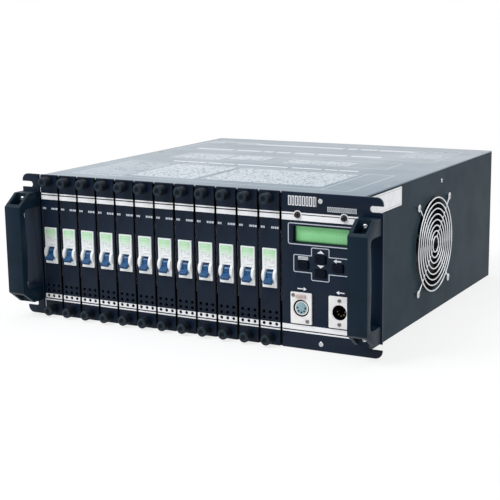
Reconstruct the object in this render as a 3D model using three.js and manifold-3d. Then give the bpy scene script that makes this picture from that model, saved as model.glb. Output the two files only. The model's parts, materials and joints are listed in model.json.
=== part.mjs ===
// Rack dimmer pack: twelve pull-out dimmer modules, each with its own breaker,
// beside a control bay, in a sheet-steel case with rack ears, handles and a side fan.
// Millimetres. X runs to the right, Y to the back and Z up.
// Lengths along Y count from the front face of the panel until the last line moves the origin.

import * as THREE from 'three';
import { mergeVertices } from 'three/addons/utils/BufferGeometryUtils.js';
import Module from 'manifold-3d';

// General
const FIT = 0.3;
const OVERRUN = 5;
const HALF = 0.5;
const FULL_TURN = 2 * Math.PI;
const QUARTER_TURN = Math.PI / 2;
const EIGHTH_TURN = Math.PI / 4;
const SIDES = [-1, 1];

// Front panel line, a 19-inch rack width and four units of height
const PANEL_WIDTH = 482.6;
const PANEL_HEIGHT = 177;
const PANEL_THICK = 3;
const PANEL_LIFT = 0.3;
const EAR_CORNER_RADIUS = 8;
const EAR_CORNER_STEPS = 4;
const SLOT_HEIGHT = 7;
const SLOT_DEPTH = 15.7;
const SLOT_INSET = 13;
const SLOT_END_STEPS = 6;

// Case of folded sheet
const EAR_REACH = 25.3;
const CASE_DEPTH = 450;
const CASE_TOP_DROP = 1;
const SHEET = 1.5;
const TOP_FLANGE = 12;
const FRONT_FLANGE = 8;
const FRONT_FLANGE_INSET = 20;
const VENT_SLOT_COUNT = 9;
const VENT_SLOT_WIDTH = 5;
const VENT_SLOT_HEIGHT = 70;
const VENT_SLOT_PITCH = 14;

// Card frame: a ring of rails behind the panel line, and shelves under and over the modules' carriers
const RAIL_DEPTH = 10;
const FRAME_POST = 2.2;
const DIVIDER_THICK = 3;
const SHELF_END = 192;

// Dimmer modules
const MODULE_COUNT = 12;
const NUMBER_DIGITS = 2;
const MODULE_GAP = 2.8;
const CARRIER_THICK = 1.5;
const CARRIER_SIDE_ROOM = 1.1;
const CARRIER_DEPTH = 200;
const CARRIER_INSET = 18.5;
const FIN_COUNT = 5;
const FIN_THICK = 2;
const FIN_PITCH = 24;
const FIN_SIDE_ROOM = 3;
const FIN_START = 80;
const RAIL_BLOCK_HEIGHT = 35;
const RAIL_BLOCK_DEPTH = 8;

// Captive thumb screws of the modules
const SCREW_INSET = 8;
const SCREW_HEAD_RADIUS = 6.2;
const SCREW_HEAD_LENGTH = 14;
const SCREW_SHANK_RADIUS = 2;
const SCREW_SHANK_LENGTH = 11;
const SCREW_HEAD_SIDES = 12;
const SCREW_SHANK_SIDES = 6;

// Vent holes low on each module
const VENT_RADIUS = 1.7;
const VENT_COLUMNS = 3;
const VENT_ROWS = 3;
const VENT_EDGE_ROOM = 4.5;
const VENT_ROW_PITCH = 6.7;
const VENT_FIRST_ROW = 24.6;
const VENT_SIDES = 6;

// Breakers, one pole wide
const BREAKER_SIDE_ROOM = 3.6;
const BREAKER_NOSE_HEIGHT = 45;
const BREAKER_BODY_HEIGHT = 81;
const BREAKER_RISE = 0.5;
const BREAKER_PROUD = 1;
const BREAKER_SHOULDER = 14;
const BREAKER_DEPTH = 58;
const BREAKER_HUMP_RADIUS = 9.5;
const BREAKER_HUMP_STEPS = 6;

// Breaker levers
const LEVER_WIDTH = 10;
const LEVER_BARREL_RADIUS = 6.4;
const LEVER_BARREL_SIDES = 16;
const LEVER_ARM_THICK = 3.6;
const LEVER_GRIP_WIDTH = 10.6;
const LEVER_GRIP_THICK = 4.4;
const LEVER_GRIP_START = 10.9;
const LEVER_REACH = 14.5;
const LEVER_PIVOT_DEPTH = 5.5;
const LEVER_PIVOT_DROP = 9;
const LEVER_SLOT_HALF = 7.6;
const LEVER_REST_ANGLE = 32;

// Control bay
const CONTROL_BAY_WIDTH = 95.4;
const CONTROL_INSET = 46.2;
const BAY_MARGIN = 6.2;
const BOARD_THICK = 1.6;
const BOARD_STAND_OFF = 10;
const BOARD_DROP = 19;
const BOARD_TOP_INSET = 19;
const POST_RADIUS = 2.5;
const POST_INSET = 4;
const POST_SIDES = 8;
const DISPLAY_WINDOW_WIDTH = 68;
const DISPLAY_WINDOW_HEIGHT = 19;
const DISPLAY_CENTRE_SHARE = 0.735;
const DISPLAY_LED_ROOM = 0.8;
const DISPLAY_SET_BACK = 2.5;
const DISPLAY_FRAME_STEP = 1;
const BUTTON_WIDTH = 13;
const BUTTON_HEIGHT = 8;
const BUTTON_PROUD = 2.2;
const BUTTON_SPREAD = 21;
const BUTTON_RISE = 7.8;
const BUTTON_CENTRE_SHARE = 0.543;
const BUTTON_FLANGE = 1;
const BUTTON_TRAVEL = 1;
const BUTTON_STEM_RADIUS = 1.8;
const LED_RADIUS = 3.2;
const LED_PROUD = 2.4;
const LED_SPREAD = 28;
const LED_INSET = 25.2;
const LED_SIDES = 12;

// Round signal connectors on their plates
const SOCKET_SPREAD = 23.3;
const SOCKET_CENTRE_SHARE = 0.2655;
const SOCKET_PLATE_WIDTH = 26;
const SOCKET_PLATE_HEIGHT = 36;
const SOCKET_PLATE_THICK = 2;
const SOCKET_BARREL_RADIUS = 11.6;
const SOCKET_BARREL_LENGTH = 22;
const SOCKET_GROOVE_RADIUS = 9.8;
const SOCKET_CORE_RADIUS = 8;
const SOCKET_GROOVE_DEPTH = 14;
const PLUG_BORE_RADIUS = 8.6;
const PLUG_BORE_DEPTH = 15;
const PIN_RADIUS = 1.2;
const PIN_CIRCLE_RADIUS = 5.6;
const PIN_LENGTH = 12;
const PIN_COUNT = 5;
const PIN_STEP_ANGLE = 45;
const PIN_MIDDLE_ANGLE = -90;
const CONNECTOR_SIDES = 24;
const PIN_SIDES = 6;
const LATCH_WIDTH = 12;
const LATCH_HEIGHT = 4;
const LATCH_PROUD = 2;
const LATCH_TRAVEL = 1;
const LATCH_RISE = 13.4;

// Handles
const HANDLE_REACH = 38;
const HANDLE_WIDTH = 23;
const HANDLE_EDGE_INSET = 1.3;
const HANDLE_DROP = 1.5;
const HANDLE_END_INSET = 20;
const HANDLE_SLOPE_RISE = 15;
const HANDLE_FOOT = 18;
const HANDLE_GRIP_THICK = 8.5;
const HANDLE_GRIP_SWELL = 2.5;
const HANDLE_GRIP_STEPS = 6;
const HANDLE_ARM_THICK = 18.5;
const HANDLE_WINDOW_RADIUS = 6;
const HANDLE_WINDOW_STEPS = 4;
const POCKET_WIDTH = 15;
const POCKET_WALL = 17.4;
const POCKET_END = 34;
const POCKET_FLOOR = 4;

// Side fan
const FAN_SIZE = 120;
const FAN_THICK = 25;
const FAN_CENTRE_Y = 221;
const FAN_DROP = 2;
const FAN_BORE_RADIUS = 57.5;
const FAN_BORE_SIDES = 32;
const FAN_HUB_RADIUS = 20;
const FAN_HUB_SIDES = 24;
const FAN_STRUT_WIDTH = 6;
const FAN_STRUT_THICK = 3;
const FAN_BLADE_COUNT = 7;
const FAN_BLADE_THICK = 1.8;
const FAN_BLADE_CHORD = 24;
const FAN_BLADE_TIP = 54.5;
const FAN_BLADE_PITCH_ANGLE = 38;
const FAN_ROTOR_LENGTH = 19;
const FAN_SCREW_PITCH = 105;

// Wire guard over the fan
const GUARD_RING_COUNT = 8;
const GUARD_OUTER_RADIUS = 58;
const GUARD_RING_PITCH = 6.9;
const GUARD_WIRE_RADIUS = 1;
const GUARD_WIRE_SIDES = 4;
const GUARD_RING_STEPS = 24;
const GUARD_SPOKE_OVERLAP = 0.5;
const GUARD_SPOKE_COUNT = 4;
const GUARD_SPOKE_SIDES = 6;
const GUARD_LUG_RADIUS = 4.6;
const GUARD_LUG_THICK = 2.6;
const GUARD_LUG_SIDES = 10;

// Plug-in board at the back of the modules
const BACKPLANE_THICK = 2;
const BACKPLANE_TOP_ROOM = 21;
const BACKPLANE_PLUG_DEPTH = 13;
const BACKPLANE_PLUG_GAP = 3.6;
const BACKPLANE_PLUG_HEIGHT = 60;

// Rear
const GLAND_REACH = 24;
const GLAND_SIDE_ROOM = 64.5;
const GLAND_CENTRE_Z = 60;
const GLAND_HEX_RADIUS = 16;
const GLAND_HEX_SIDES = 6;
const GLAND_HEX_LENGTH = 8;
const GLAND_CAP_RADIUS = 13.5;
const GLAND_NECK_RADIUS = 10;
const GLAND_THREAD_RADIUS = 11;
const GLAND_THREAD_LENGTH = 9;
const GLAND_BORE_RADIUS = 7;
const GLAND_CAP_SIDES = 18;
const OUTLET_SPREAD = 55;
const OUTLET_SIDE_ROOM = 53.5;
const OUTLET_CENTRE_Z = 95;
const OUTLET_PLATE_WIDTH = 92;
const OUTLET_PLATE_HEIGHT = 44;
const OUTLET_PLATE_THICK = 3;
const OUTLET_SHELL_WIDTH = 78;
const OUTLET_SHELL_HEIGHT = 35;
const OUTLET_SHELL_WALL = 3.5;
const OUTLET_REACH = 24;
const OUTLET_CAVITY_DEPTH = 19;
const OUTLET_BACK_DEPTH = 14;

// Places worked out from the sizes above
const panelHalf = PANEL_WIDTH * HALF;
const panelMiddle = PANEL_HEIGHT * HALF;
const panelBack = PANEL_THICK;
const caseHalf = panelHalf - EAR_REACH;
const caseInnerHalf = caseHalf - SHEET;
const caseHeight = PANEL_HEIGHT - CASE_TOP_DROP;
const rowLeft = -caseInnerHalf;
const rowRight = caseInnerHalf - CONTROL_BAY_WIDTH;
const modulePitch = (rowRight - rowLeft) / MODULE_COUNT;
const moduleHalf = (modulePitch - MODULE_GAP) * HALF;
const controlX = caseInnerHalf - CONTROL_INSET;
const controlLeft = rowRight + MODULE_GAP * HALF;
const boardFront = panelBack + BOARD_STAND_OFF;
const railBack = panelBack + RAIL_DEPTH;
const frameBottom = SHEET + FIT;
const frameTop = caseHeight - SHEET - SHEET - FIT;
const carrierLeft = CARRIER_SIDE_ROOM - moduleHalf;
const carrierTop = PANEL_HEIGHT - CARRIER_INSET;
const shelfLow = PANEL_LIFT + CARRIER_INSET - FIT;
const shelfHigh = PANEL_LIFT + carrierTop + FIT;
const breakerHalf = moduleHalf - BREAKER_SIDE_ROOM;
const breakerCentre = panelMiddle + BREAKER_RISE;
const leverPivotZ = breakerCentre - LEVER_PIVOT_DROP;
const ledCentre = PANEL_HEIGHT - LED_INSET;
const displayCentre = PANEL_HEIGHT * DISPLAY_CENTRE_SHARE;
const displayBodyHalf = ledCentre - LED_RADIUS - DISPLAY_LED_ROOM - displayCentre;
const buttonCentre = PANEL_HEIGHT * BUTTON_CENTRE_SHARE;
const socketCentre = PANEL_HEIGHT * SOCKET_CENTRE_SHARE;
const boardBottom = buttonCentre - BOARD_DROP;
const boardTop = PANEL_HEIGHT - BOARD_TOP_INSET;
const bayBoardHalf = CONTROL_INSET - BAY_MARGIN;
const buttonPlaces = {
  menu_button: [-BUTTON_SPREAD, buttonCentre],
  up_button: [0, buttonCentre + BUTTON_RISE],
  down_button: [0, buttonCentre - BUTTON_RISE],
  escape_button: [BUTTON_SPREAD, buttonCentre],
};
const handleX = panelHalf - HANDLE_EDGE_INSET - HANDLE_WIDTH * HALF;
const handleHalf = panelMiddle - HANDLE_END_INSET;
const handleWindowHalf = handleHalf - HANDLE_ARM_THICK;
const fanCentreZ = caseHeight * HALF - FAN_DROP;
const glandX = GLAND_SIDE_ROOM - caseInnerHalf;
const outletsX = caseInnerHalf - OUTLET_SIDE_ROOM - OUTLET_PLATE_WIDTH * HALF - OUTLET_SPREAD;

const wasm = await Module();
wasm.setup();

// Finishes
const finish = (color, roughness, metalness) =>
  new THREE.MeshStandardMaterial({ color, roughness, metalness });
const finishes = {
  frontPaint: finish(0x1b2430, 0.45, 0.3),
  casePaint: finish(0x39454b, 0.5, 0.3),
  blackPlastic: finish(0x1a1d21, 0.5, 0),
  blackKnob: finish(0x16191d, 0.6, 0.2),
  breakerWhite: finish(0xe4e8e4, 0.4, 0),
  leverBlue: finish(0x1f5290, 0.35, 0),
  displayGreen: finish(0x86c890, 0.3, 0),
  boardGreen: finish(0x1f5a34, 0.6, 0),
  nickel: finish(0xcfd2d4, 0.25, 1),
  wireChrome: finish(0xd9dcde, 0.18, 1),
  railSteel: finish(0x9ba1a4, 0.45, 0.9),
  fanBlack: finish(0x121416, 0.55, 0),
  glandGrey: finish(0x2a2d30, 0.55, 0),
};

// Geometry helpers
function toSolid(geometry) {
  const bare = geometry.clone();
  bare.deleteAttribute('normal');
  bare.deleteAttribute('uv');
  const merged = mergeVertices(bare);
  return new wasm.Manifold(new wasm.Mesh({
    numProp: 3,
    vertProperties: new Float32Array(merged.attributes.position.array),
    triVerts: new Uint32Array(merged.index.array),
  }));
}

function toGeometry(solid) {
  const mesh = solid.getMesh();
  const geometry = new THREE.BufferGeometry();
  geometry.setAttribute('position', new THREE.BufferAttribute(mesh.vertProperties, mesh.numProp));
  geometry.setIndex(new THREE.BufferAttribute(mesh.triVerts, 1));
  geometry.computeVertexNormals();
  return geometry;
}

function shaped(base, joined, removed = []) {
  let solid = toSolid(base);
  for (const extra of joined) {
    solid = solid.add(toSolid(extra));
  }
  for (const cutter of removed) {
    solid = solid.subtract(toSolid(cutter));
  }
  return toGeometry(solid);
}

function block(x0, x1, y0, y1, z0, z1) {
  const geometry = new THREE.BoxGeometry(x1 - x0, y1 - y0, z1 - z0);
  return geometry.translate((x0 + x1) * HALF, (y0 + y1) * HALF, (z0 + z1) * HALF);
}

// An outline in X and Z, drawn out from y0 back to y1
function alongY(shape, y0, y1) {
  const geometry = new THREE.ExtrudeGeometry(shape, { depth: y1 - y0, bevelEnabled: false });
  return geometry.rotateX(QUARTER_TURN).translate(0, y1, 0);
}

// An outline in Y and Z, drawn out from x0 to x1
function alongX(shape, x0, x1) {
  const turn = new THREE.Matrix4().makeBasis(
    new THREE.Vector3(0, 1, 0), new THREE.Vector3(0, 0, 1), new THREE.Vector3(1, 0, 0));
  const geometry = new THREE.ExtrudeGeometry(shape, { depth: x1 - x0, bevelEnabled: false });
  return geometry.applyMatrix4(turn).translate(x0, 0, 0);
}

function polygon(pairs) {
  return new THREE.Shape(pairs.map(([a, b]) => new THREE.Vector2(a, b)));
}

function rectangle(x0, x1, z0, z1) {
  return polygon([[x0, z0], [x1, z0], [x1, z1], [x0, z1]]);
}

function arc(x, z, radius, from, to, steps) {
  const pairs = [];
  for (let i = 0; i <= steps; i += 1) {
    const angle = from + (to - from) * i / steps;
    pairs.push([x + radius * Math.cos(angle), z + radius * Math.sin(angle)]);
  }
  return pairs;
}

function circle(x, z, radius, sides) {
  return polygon(arc(x, z, radius, 0, FULL_TURN, sides).slice(0, sides));
}

function rodY(x, z, radius, y0, y1, sides) {
  return alongY(circle(x, z, radius, sides), y0, y1);
}

function rodX(y, z, radius, x0, x1, sides) {
  return alongX(circle(y, z, radius, sides), x0, x1);
}

// A plate from y0 back to y1 with holes right through it
function plate(outline, holes, y0, y1) {
  return shaped(alongY(outline, y0, y1), [], holes.map((hole) => alongY(hole, y0 - OVERRUN, y1 + OVERRUN)));
}

function piece(name, geometry, material, parent) {
  const mesh = new THREE.Mesh(geometry, material);
  mesh.name = name;
  parent.add(mesh);
  return mesh;
}

// The outline of a plate that ends in a rack ear: straight at innerX, slotted at the right edge
function earOutline(innerX) {
  const outer = panelHalf;
  const bend = EAR_CORNER_RADIUS;
  const slotEnd = outer - SLOT_DEPTH + SLOT_HEIGHT * HALF;
  const slot = (z) => [
    [outer, z - SLOT_HEIGHT * HALF],
    ...arc(slotEnd, z, SLOT_HEIGHT * HALF, -QUARTER_TURN, -QUARTER_TURN - Math.PI, SLOT_END_STEPS),
    [outer, z + SLOT_HEIGHT * HALF],
  ];
  return [
    [innerX, 0],
    ...arc(outer - bend, bend, bend, -QUARTER_TURN, 0, EAR_CORNER_STEPS),
    ...slot(SLOT_INSET),
    ...slot(PANEL_HEIGHT - SLOT_INSET),
    ...arc(outer - bend, PANEL_HEIGHT - bend, bend, 0, QUARTER_TURN, EAR_CORNER_STEPS),
    [innerX, PANEL_HEIGHT],
  ];
}

// Case
function chassisTray() {
  const top = caseHeight - SHEET;
  const section = polygon([
    [-caseHalf, 0], [caseHalf, 0], [caseHalf, top], [caseInnerHalf - TOP_FLANGE, top],
    [caseInnerHalf - TOP_FLANGE, top - SHEET], [caseInnerHalf, top - SHEET], [caseInnerHalf, SHEET],
    [-caseInnerHalf, SHEET], [-caseInnerHalf, top - SHEET], [TOP_FLANGE - caseInnerHalf, top - SHEET],
    [TOP_FLANGE - caseInnerHalf, top], [-caseHalf, top],
  ]);
  const flanges = SIDES.map((side) => {
    const inner = side * caseInnerHalf;
    const outer = side * (caseHalf + FRONT_FLANGE);
    return block(Math.min(inner, outer), Math.max(inner, outer), panelBack, panelBack + SHEET,
      FRONT_FLANGE_INSET, top - FRONT_FLANGE_INSET);
  });
  const cuts = [
    rodX(FAN_CENTRE_Y, fanCentreZ, FAN_BORE_RADIUS, caseInnerHalf - OVERRUN, caseHalf + OVERRUN,
      FAN_BORE_SIDES),
  ];
  for (let i = 0; i < VENT_SLOT_COUNT; i += 1) {
    const y = FAN_CENTRE_Y + (i - (VENT_SLOT_COUNT - 1) * HALF) * VENT_SLOT_PITCH;
    cuts.push(block(-caseHalf - OVERRUN, OVERRUN - caseInnerHalf,
      y - VENT_SLOT_WIDTH * HALF, y + VENT_SLOT_WIDTH * HALF,
      fanCentreZ - VENT_SLOT_HEIGHT * HALF, fanCentreZ + VENT_SLOT_HEIGHT * HALF));
  }
  return shaped(alongY(section, panelBack, CASE_DEPTH), flanges, cuts);
}

function topCover() {
  return block(-caseHalf, caseHalf, panelBack, CASE_DEPTH, caseHeight - SHEET, caseHeight);
}

function rearPanel() {
  const holes = [circle(glandX, GLAND_CENTRE_Z, GLAND_THREAD_RADIUS + FIT, GLAND_CAP_SIDES)];
  for (const side of SIDES) {
    const x = outletsX + side * OUTLET_SPREAD;
    const halfWidth = OUTLET_SHELL_WIDTH * HALF - OUTLET_SHELL_WALL + FIT;
    const halfHeight = OUTLET_SHELL_HEIGHT * HALF - OUTLET_SHELL_WALL + FIT;
    holes.push(rectangle(x - halfWidth, x + halfWidth, OUTLET_CENTRE_Z - halfHeight,
      OUTLET_CENTRE_Z + halfHeight));
  }
  const outline = rectangle(FIT - caseInnerHalf, caseInnerHalf - FIT, frameBottom, frameTop);
  return plate(outline, holes, CASE_DEPTH - SHEET, CASE_DEPTH);
}

// Ring with a hole for every thumb screw, and the shelves that hold the carriers' edges
function cardFrame() {
  const end = caseInnerHalf - FIT;
  const low = shelfLow - FIT;
  const high = shelfHigh + FIT;
  const holes = [
    rectangle(moduleX(0) + carrierLeft - FIT, rowRight, low, high),
    rectangle(rowRight + DIVIDER_THICK, end - FRAME_POST, low, high),
  ];
  for (let i = 0; i < MODULE_COUNT; i += 1) {
    for (const z of [SCREW_INSET, PANEL_HEIGHT - SCREW_INSET]) {
      holes.push(circle(moduleX(i), PANEL_LIFT + z, SCREW_SHANK_RADIUS + FIT, SCREW_SHANK_SIDES));
    }
  }
  const shelves = [[shelfLow, frameBottom], [shelfHigh, frameTop]].map(([edge, wall]) => {
    const outside = edge + Math.sign(wall - edge) * SHEET;
    const section = polygon([
      [railBack - FIT, edge], [SHELF_END, edge], [SHELF_END, wall], [SHELF_END - SHEET, wall],
      [SHELF_END - SHEET, outside], [railBack - FIT, outside],
    ]);
    return alongX(section, FIT - end, rowRight - FIT);
  });
  return shaped(plate(rectangle(-end, end, frameBottom, frameTop), holes, panelBack, railBack), shelves);
}

// Panel line
function leftEar() {
  const outline = earOutline(MODULE_GAP * HALF - rowLeft);
  return alongY(polygon(outline.map(([x, z]) => [-x, z])), 0, PANEL_THICK);
}

function controlPanel() {
  const holes = [rectangle(
    controlX - DISPLAY_WINDOW_WIDTH * HALF, controlX + DISPLAY_WINDOW_WIDTH * HALF,
    displayCentre - DISPLAY_WINDOW_HEIGHT * HALF, displayCentre + DISPLAY_WINDOW_HEIGHT * HALF)];
  for (const [dx, z] of Object.values(buttonPlaces)) {
    const halfWidth = BUTTON_WIDTH * HALF + FIT;
    const halfHeight = BUTTON_HEIGHT * HALF + FIT;
    const x = controlX + dx;
    holes.push(rectangle(x - halfWidth, x + halfWidth, z - halfHeight, z + halfHeight));
  }
  for (const side of SIDES) {
    holes.push(circle(controlX + side * LED_SPREAD, ledCentre, LED_RADIUS + FIT, LED_SIDES));
    holes.push(circle(controlX + side * SOCKET_SPREAD, socketCentre, SOCKET_BARREL_RADIUS + FIT,
      CONNECTOR_SIDES));
  }
  return plate(polygon(earOutline(controlLeft)), holes, 0, PANEL_THICK);
}

function moduleX(index) {
  return rowLeft + (index + HALF) * modulePitch;
}

// One module about its own middle: front plate, carrier, fins, breaker rail and thumb screws
function dimmerModule() {
  const windowHalf = breakerHalf + FIT;
  const windowBottom = breakerCentre - BREAKER_NOSE_HEIGHT * HALF - FIT;
  const windowTop = breakerCentre + BREAKER_NOSE_HEIGHT * HALF + FIT;
  const ventPitch = moduleHalf - VENT_EDGE_ROOM;
  const holes = [rectangle(-windowHalf, windowHalf, windowBottom, windowTop)];
  for (let row = 0; row < VENT_ROWS; row += 1) {
    for (let column = 0; column < VENT_COLUMNS; column += 1) {
      const x = (column - (VENT_COLUMNS - 1) * HALF) * ventPitch;
      holes.push(circle(x, VENT_FIRST_ROW + row * VENT_ROW_PITCH, VENT_RADIUS, VENT_SIDES));
    }
  }
  const finEnd = moduleHalf - FIN_SIDE_ROOM;
  const joined = [
    block(carrierLeft, carrierLeft + CARRIER_THICK, PANEL_THICK * HALF, CARRIER_DEPTH, CARRIER_INSET,
      carrierTop),
    block(carrierLeft, finEnd, BREAKER_DEPTH + FIT, BREAKER_DEPTH + FIT + RAIL_BLOCK_DEPTH,
      breakerCentre - RAIL_BLOCK_HEIGHT * HALF, breakerCentre + RAIL_BLOCK_HEIGHT * HALF),
  ];
  for (let i = 0; i < FIN_COUNT; i += 1) {
    const z = panelMiddle + (i - (FIN_COUNT - 1) * HALF) * FIN_PITCH;
    joined.push(block(carrierLeft, finEnd, FIN_START, CARRIER_DEPTH,
      z - FIN_THICK * HALF, z + FIN_THICK * HALF));
  }
  for (const z of [SCREW_INSET, PANEL_HEIGHT - SCREW_INSET]) {
    joined.push(rodY(0, z, SCREW_HEAD_RADIUS, -SCREW_HEAD_LENGTH, 0, SCREW_HEAD_SIDES));
    joined.push(rodY(0, z, SCREW_SHANK_RADIUS, PANEL_THICK * HALF, SCREW_SHANK_LENGTH, SCREW_SHANK_SIDES));
  }
  const front = rectangle(-moduleHalf, moduleHalf, 0, PANEL_HEIGHT);
  return shaped(plate(front, holes, 0, PANEL_THICK), joined);
}

// Breaker with a 45 mm nose, a round hump either side of the lever and the taller body behind
function breaker() {
  const nose = BREAKER_NOSE_HEIGHT * HALF;
  const body = BREAKER_BODY_HEIGHT * HALF;
  const face = -BREAKER_PROUD;
  const humpAngle = Math.acos((LEVER_PIVOT_DEPTH - face) / BREAKER_HUMP_RADIUS);
  const profile = polygon([
    [face, breakerCentre - nose],
    ...arc(LEVER_PIVOT_DEPTH, leverPivotZ, BREAKER_HUMP_RADIUS, Math.PI + humpAngle, Math.PI - humpAngle,
      BREAKER_HUMP_STEPS),
    [face, breakerCentre + nose],
    [BREAKER_SHOULDER, breakerCentre + nose], [BREAKER_SHOULDER, breakerCentre + body],
    [BREAKER_DEPTH, breakerCentre + body], [BREAKER_DEPTH, breakerCentre - body],
    [BREAKER_SHOULDER, breakerCentre - body], [BREAKER_SHOULDER, breakerCentre - nose],
  ]);
  const slotHalf = LEVER_WIDTH * HALF + FIT;
  const pocket = rodX(LEVER_PIVOT_DEPTH, leverPivotZ, LEVER_BARREL_RADIUS + FIT, -slotHalf, slotHalf,
    LEVER_BARREL_SIDES);
  const slot = block(-slotHalf, slotHalf, LEVER_PIVOT_DEPTH - BREAKER_HUMP_RADIUS - OVERRUN,
    LEVER_PIVOT_DEPTH, leverPivotZ - LEVER_SLOT_HALF, leverPivotZ + LEVER_SLOT_HALF);
  return shaped(alongX(profile, -breakerHalf, breakerHalf), [], [pocket, slot]);
}

// Lever about its pivot, its grip pointing forward and down as it stands when off
function breakerLever() {
  const half = LEVER_WIDTH * HALF;
  const barrel = rodX(0, 0, LEVER_BARREL_RADIUS, -half, half, LEVER_BARREL_SIDES);
  const armEnd = (LEVER_GRIP_START + LEVER_REACH) * HALF;
  const arm = block(-half, half, -armEnd, 0, -LEVER_ARM_THICK * HALF, LEVER_ARM_THICK * HALF);
  const grip = block(-LEVER_GRIP_WIDTH * HALF, LEVER_GRIP_WIDTH * HALF, -LEVER_REACH, -LEVER_GRIP_START,
    -LEVER_GRIP_THICK * HALF, LEVER_GRIP_THICK * HALF);
  const restAngle = THREE.MathUtils.degToRad(LEVER_REST_ANGLE);
  return shaped(barrel, [arm.rotateX(restAngle), grip.rotateX(restAngle)]);
}

// Control bay
function controlBoard() {
  const left = controlX - bayBoardHalf;
  const right = controlX + bayBoardHalf;
  const posts = [];
  for (const x of [left + POST_INSET, right - POST_INSET]) {
    for (const z of [boardBottom + POST_INSET, boardTop - POST_INSET]) {
      posts.push(rodY(x, z, POST_RADIUS, panelBack, boardFront + BOARD_THICK * HALF, POST_SIDES));
    }
  }
  const leds = SIDES.map((side) => rodY(controlX + side * LED_SPREAD, ledCentre, LED_RADIUS,
    -LED_PROUD, boardFront + BOARD_THICK * HALF, LED_SIDES));
  return shaped(block(left, right, boardFront, boardFront + BOARD_THICK, boardBottom, boardTop),
    [...posts, ...leds]);
}

function display() {
  const glassHalf = DISPLAY_WINDOW_WIDTH * HALF + FIT;
  const glassHeight = DISPLAY_WINDOW_HEIGHT * HALF + FIT;
  const glassFront = panelBack + DISPLAY_SET_BACK;
  const body = block(controlX - bayBoardHalf, controlX + bayBoardHalf, glassFront + DISPLAY_FRAME_STEP,
    boardFront - FIT, displayCentre - displayBodyHalf, displayCentre + displayBodyHalf);
  const glass = block(controlX - glassHalf, controlX + glassHalf, glassFront, boardFront - FIT,
    displayCentre - glassHeight, displayCentre + glassHeight);
  return shaped(body, [glass]);
}

// Push button about the middle of its cap
function pushButton() {
  const halfWidth = BUTTON_WIDTH * HALF;
  const halfHeight = BUTTON_HEIGHT * HALF;
  const flangeFront = panelBack + FIT;
  const flange = block(-halfWidth - BUTTON_FLANGE, halfWidth + BUTTON_FLANGE, flangeFront,
    flangeFront + BUTTON_FLANGE, -halfHeight - BUTTON_FLANGE, halfHeight + BUTTON_FLANGE);
  const stem = rodY(0, 0, BUTTON_STEM_RADIUS, flangeFront, boardFront - BUTTON_TRAVEL - FIT, POST_SIDES);
  const cap = block(-halfWidth, halfWidth, -BUTTON_PROUD, flangeFront + BUTTON_FLANGE * HALF,
    -halfHeight, halfHeight);
  return shaped(cap, [flange, stem]);
}

function pinAngle(index) {
  const middle = (PIN_COUNT - 1) * HALF;
  return THREE.MathUtils.degToRad(PIN_MIDDLE_ANGLE + (index - middle) * PIN_STEP_ANGLE);
}

function connectorBody(length) {
  const halfWidth = SOCKET_PLATE_WIDTH * HALF;
  const halfHeight = SOCKET_PLATE_HEIGHT * HALF;
  const flange = block(-halfWidth, halfWidth, -SOCKET_PLATE_THICK, 0, -halfHeight, halfHeight);
  const barrel = rodY(0, 0, SOCKET_BARREL_RADIUS, -SOCKET_PLATE_THICK * HALF, length, CONNECTOR_SIDES);
  return [flange, barrel];
}

// Female outlet: ring groove round a core with contact holes, and a recess for the latch
function outputSocket() {
  const [flange, barrel] = connectorBody(SOCKET_BARREL_LENGTH);
  const ring = circle(0, 0, SOCKET_GROOVE_RADIUS, CONNECTOR_SIDES);
  ring.holes.push(circle(0, 0, SOCKET_CORE_RADIUS, CONNECTOR_SIDES));
  const cuts = [alongY(ring, -SOCKET_PLATE_THICK - OVERRUN, SOCKET_GROOVE_DEPTH)];
  for (let i = 0; i < PIN_COUNT; i += 1) {
    const angle = pinAngle(i);
    cuts.push(rodY(PIN_CIRCLE_RADIUS * Math.cos(angle), PIN_CIRCLE_RADIUS * Math.sin(angle), PIN_RADIUS,
      -SOCKET_PLATE_THICK - OVERRUN, PIN_LENGTH, PIN_SIDES));
  }
  const latchHalf = LATCH_WIDTH * HALF + FIT;
  const latchRoom = LATCH_HEIGHT * HALF + FIT;
  cuts.push(block(-latchHalf, latchHalf, -SOCKET_PLATE_THICK - OVERRUN, 0,
    LATCH_RISE - latchRoom, LATCH_RISE + latchRoom));
  return shaped(flange, [barrel], cuts);
}

function socketLatch() {
  const half = LATCH_WIDTH * HALF;
  return block(-half, half, -SOCKET_PLATE_THICK - LATCH_PROUD, -LATCH_TRAVEL - FIT,
    LATCH_RISE - LATCH_HEIGHT * HALF, LATCH_RISE + LATCH_HEIGHT * HALF);
}

// Male inlet: a bore with the pins standing on its floor
function inputPlug() {
  const [flange, barrel] = connectorBody(SOCKET_BARREL_LENGTH);
  const bore = rodY(0, 0, PLUG_BORE_RADIUS, -SOCKET_PLATE_THICK - OVERRUN, PLUG_BORE_DEPTH, CONNECTOR_SIDES);
  const pins = [];
  for (let i = 0; i < PIN_COUNT; i += 1) {
    const angle = pinAngle(i);
    pins.push(rodY(PIN_CIRCLE_RADIUS * Math.cos(angle), PIN_CIRCLE_RADIUS * Math.sin(angle), PIN_RADIUS,
      PLUG_BORE_DEPTH - PIN_LENGTH, PLUG_BORE_DEPTH + PIN_RADIUS, PIN_SIDES));
  }
  return shaped(shaped(flange, [barrel], [bore]), pins);
}

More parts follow.
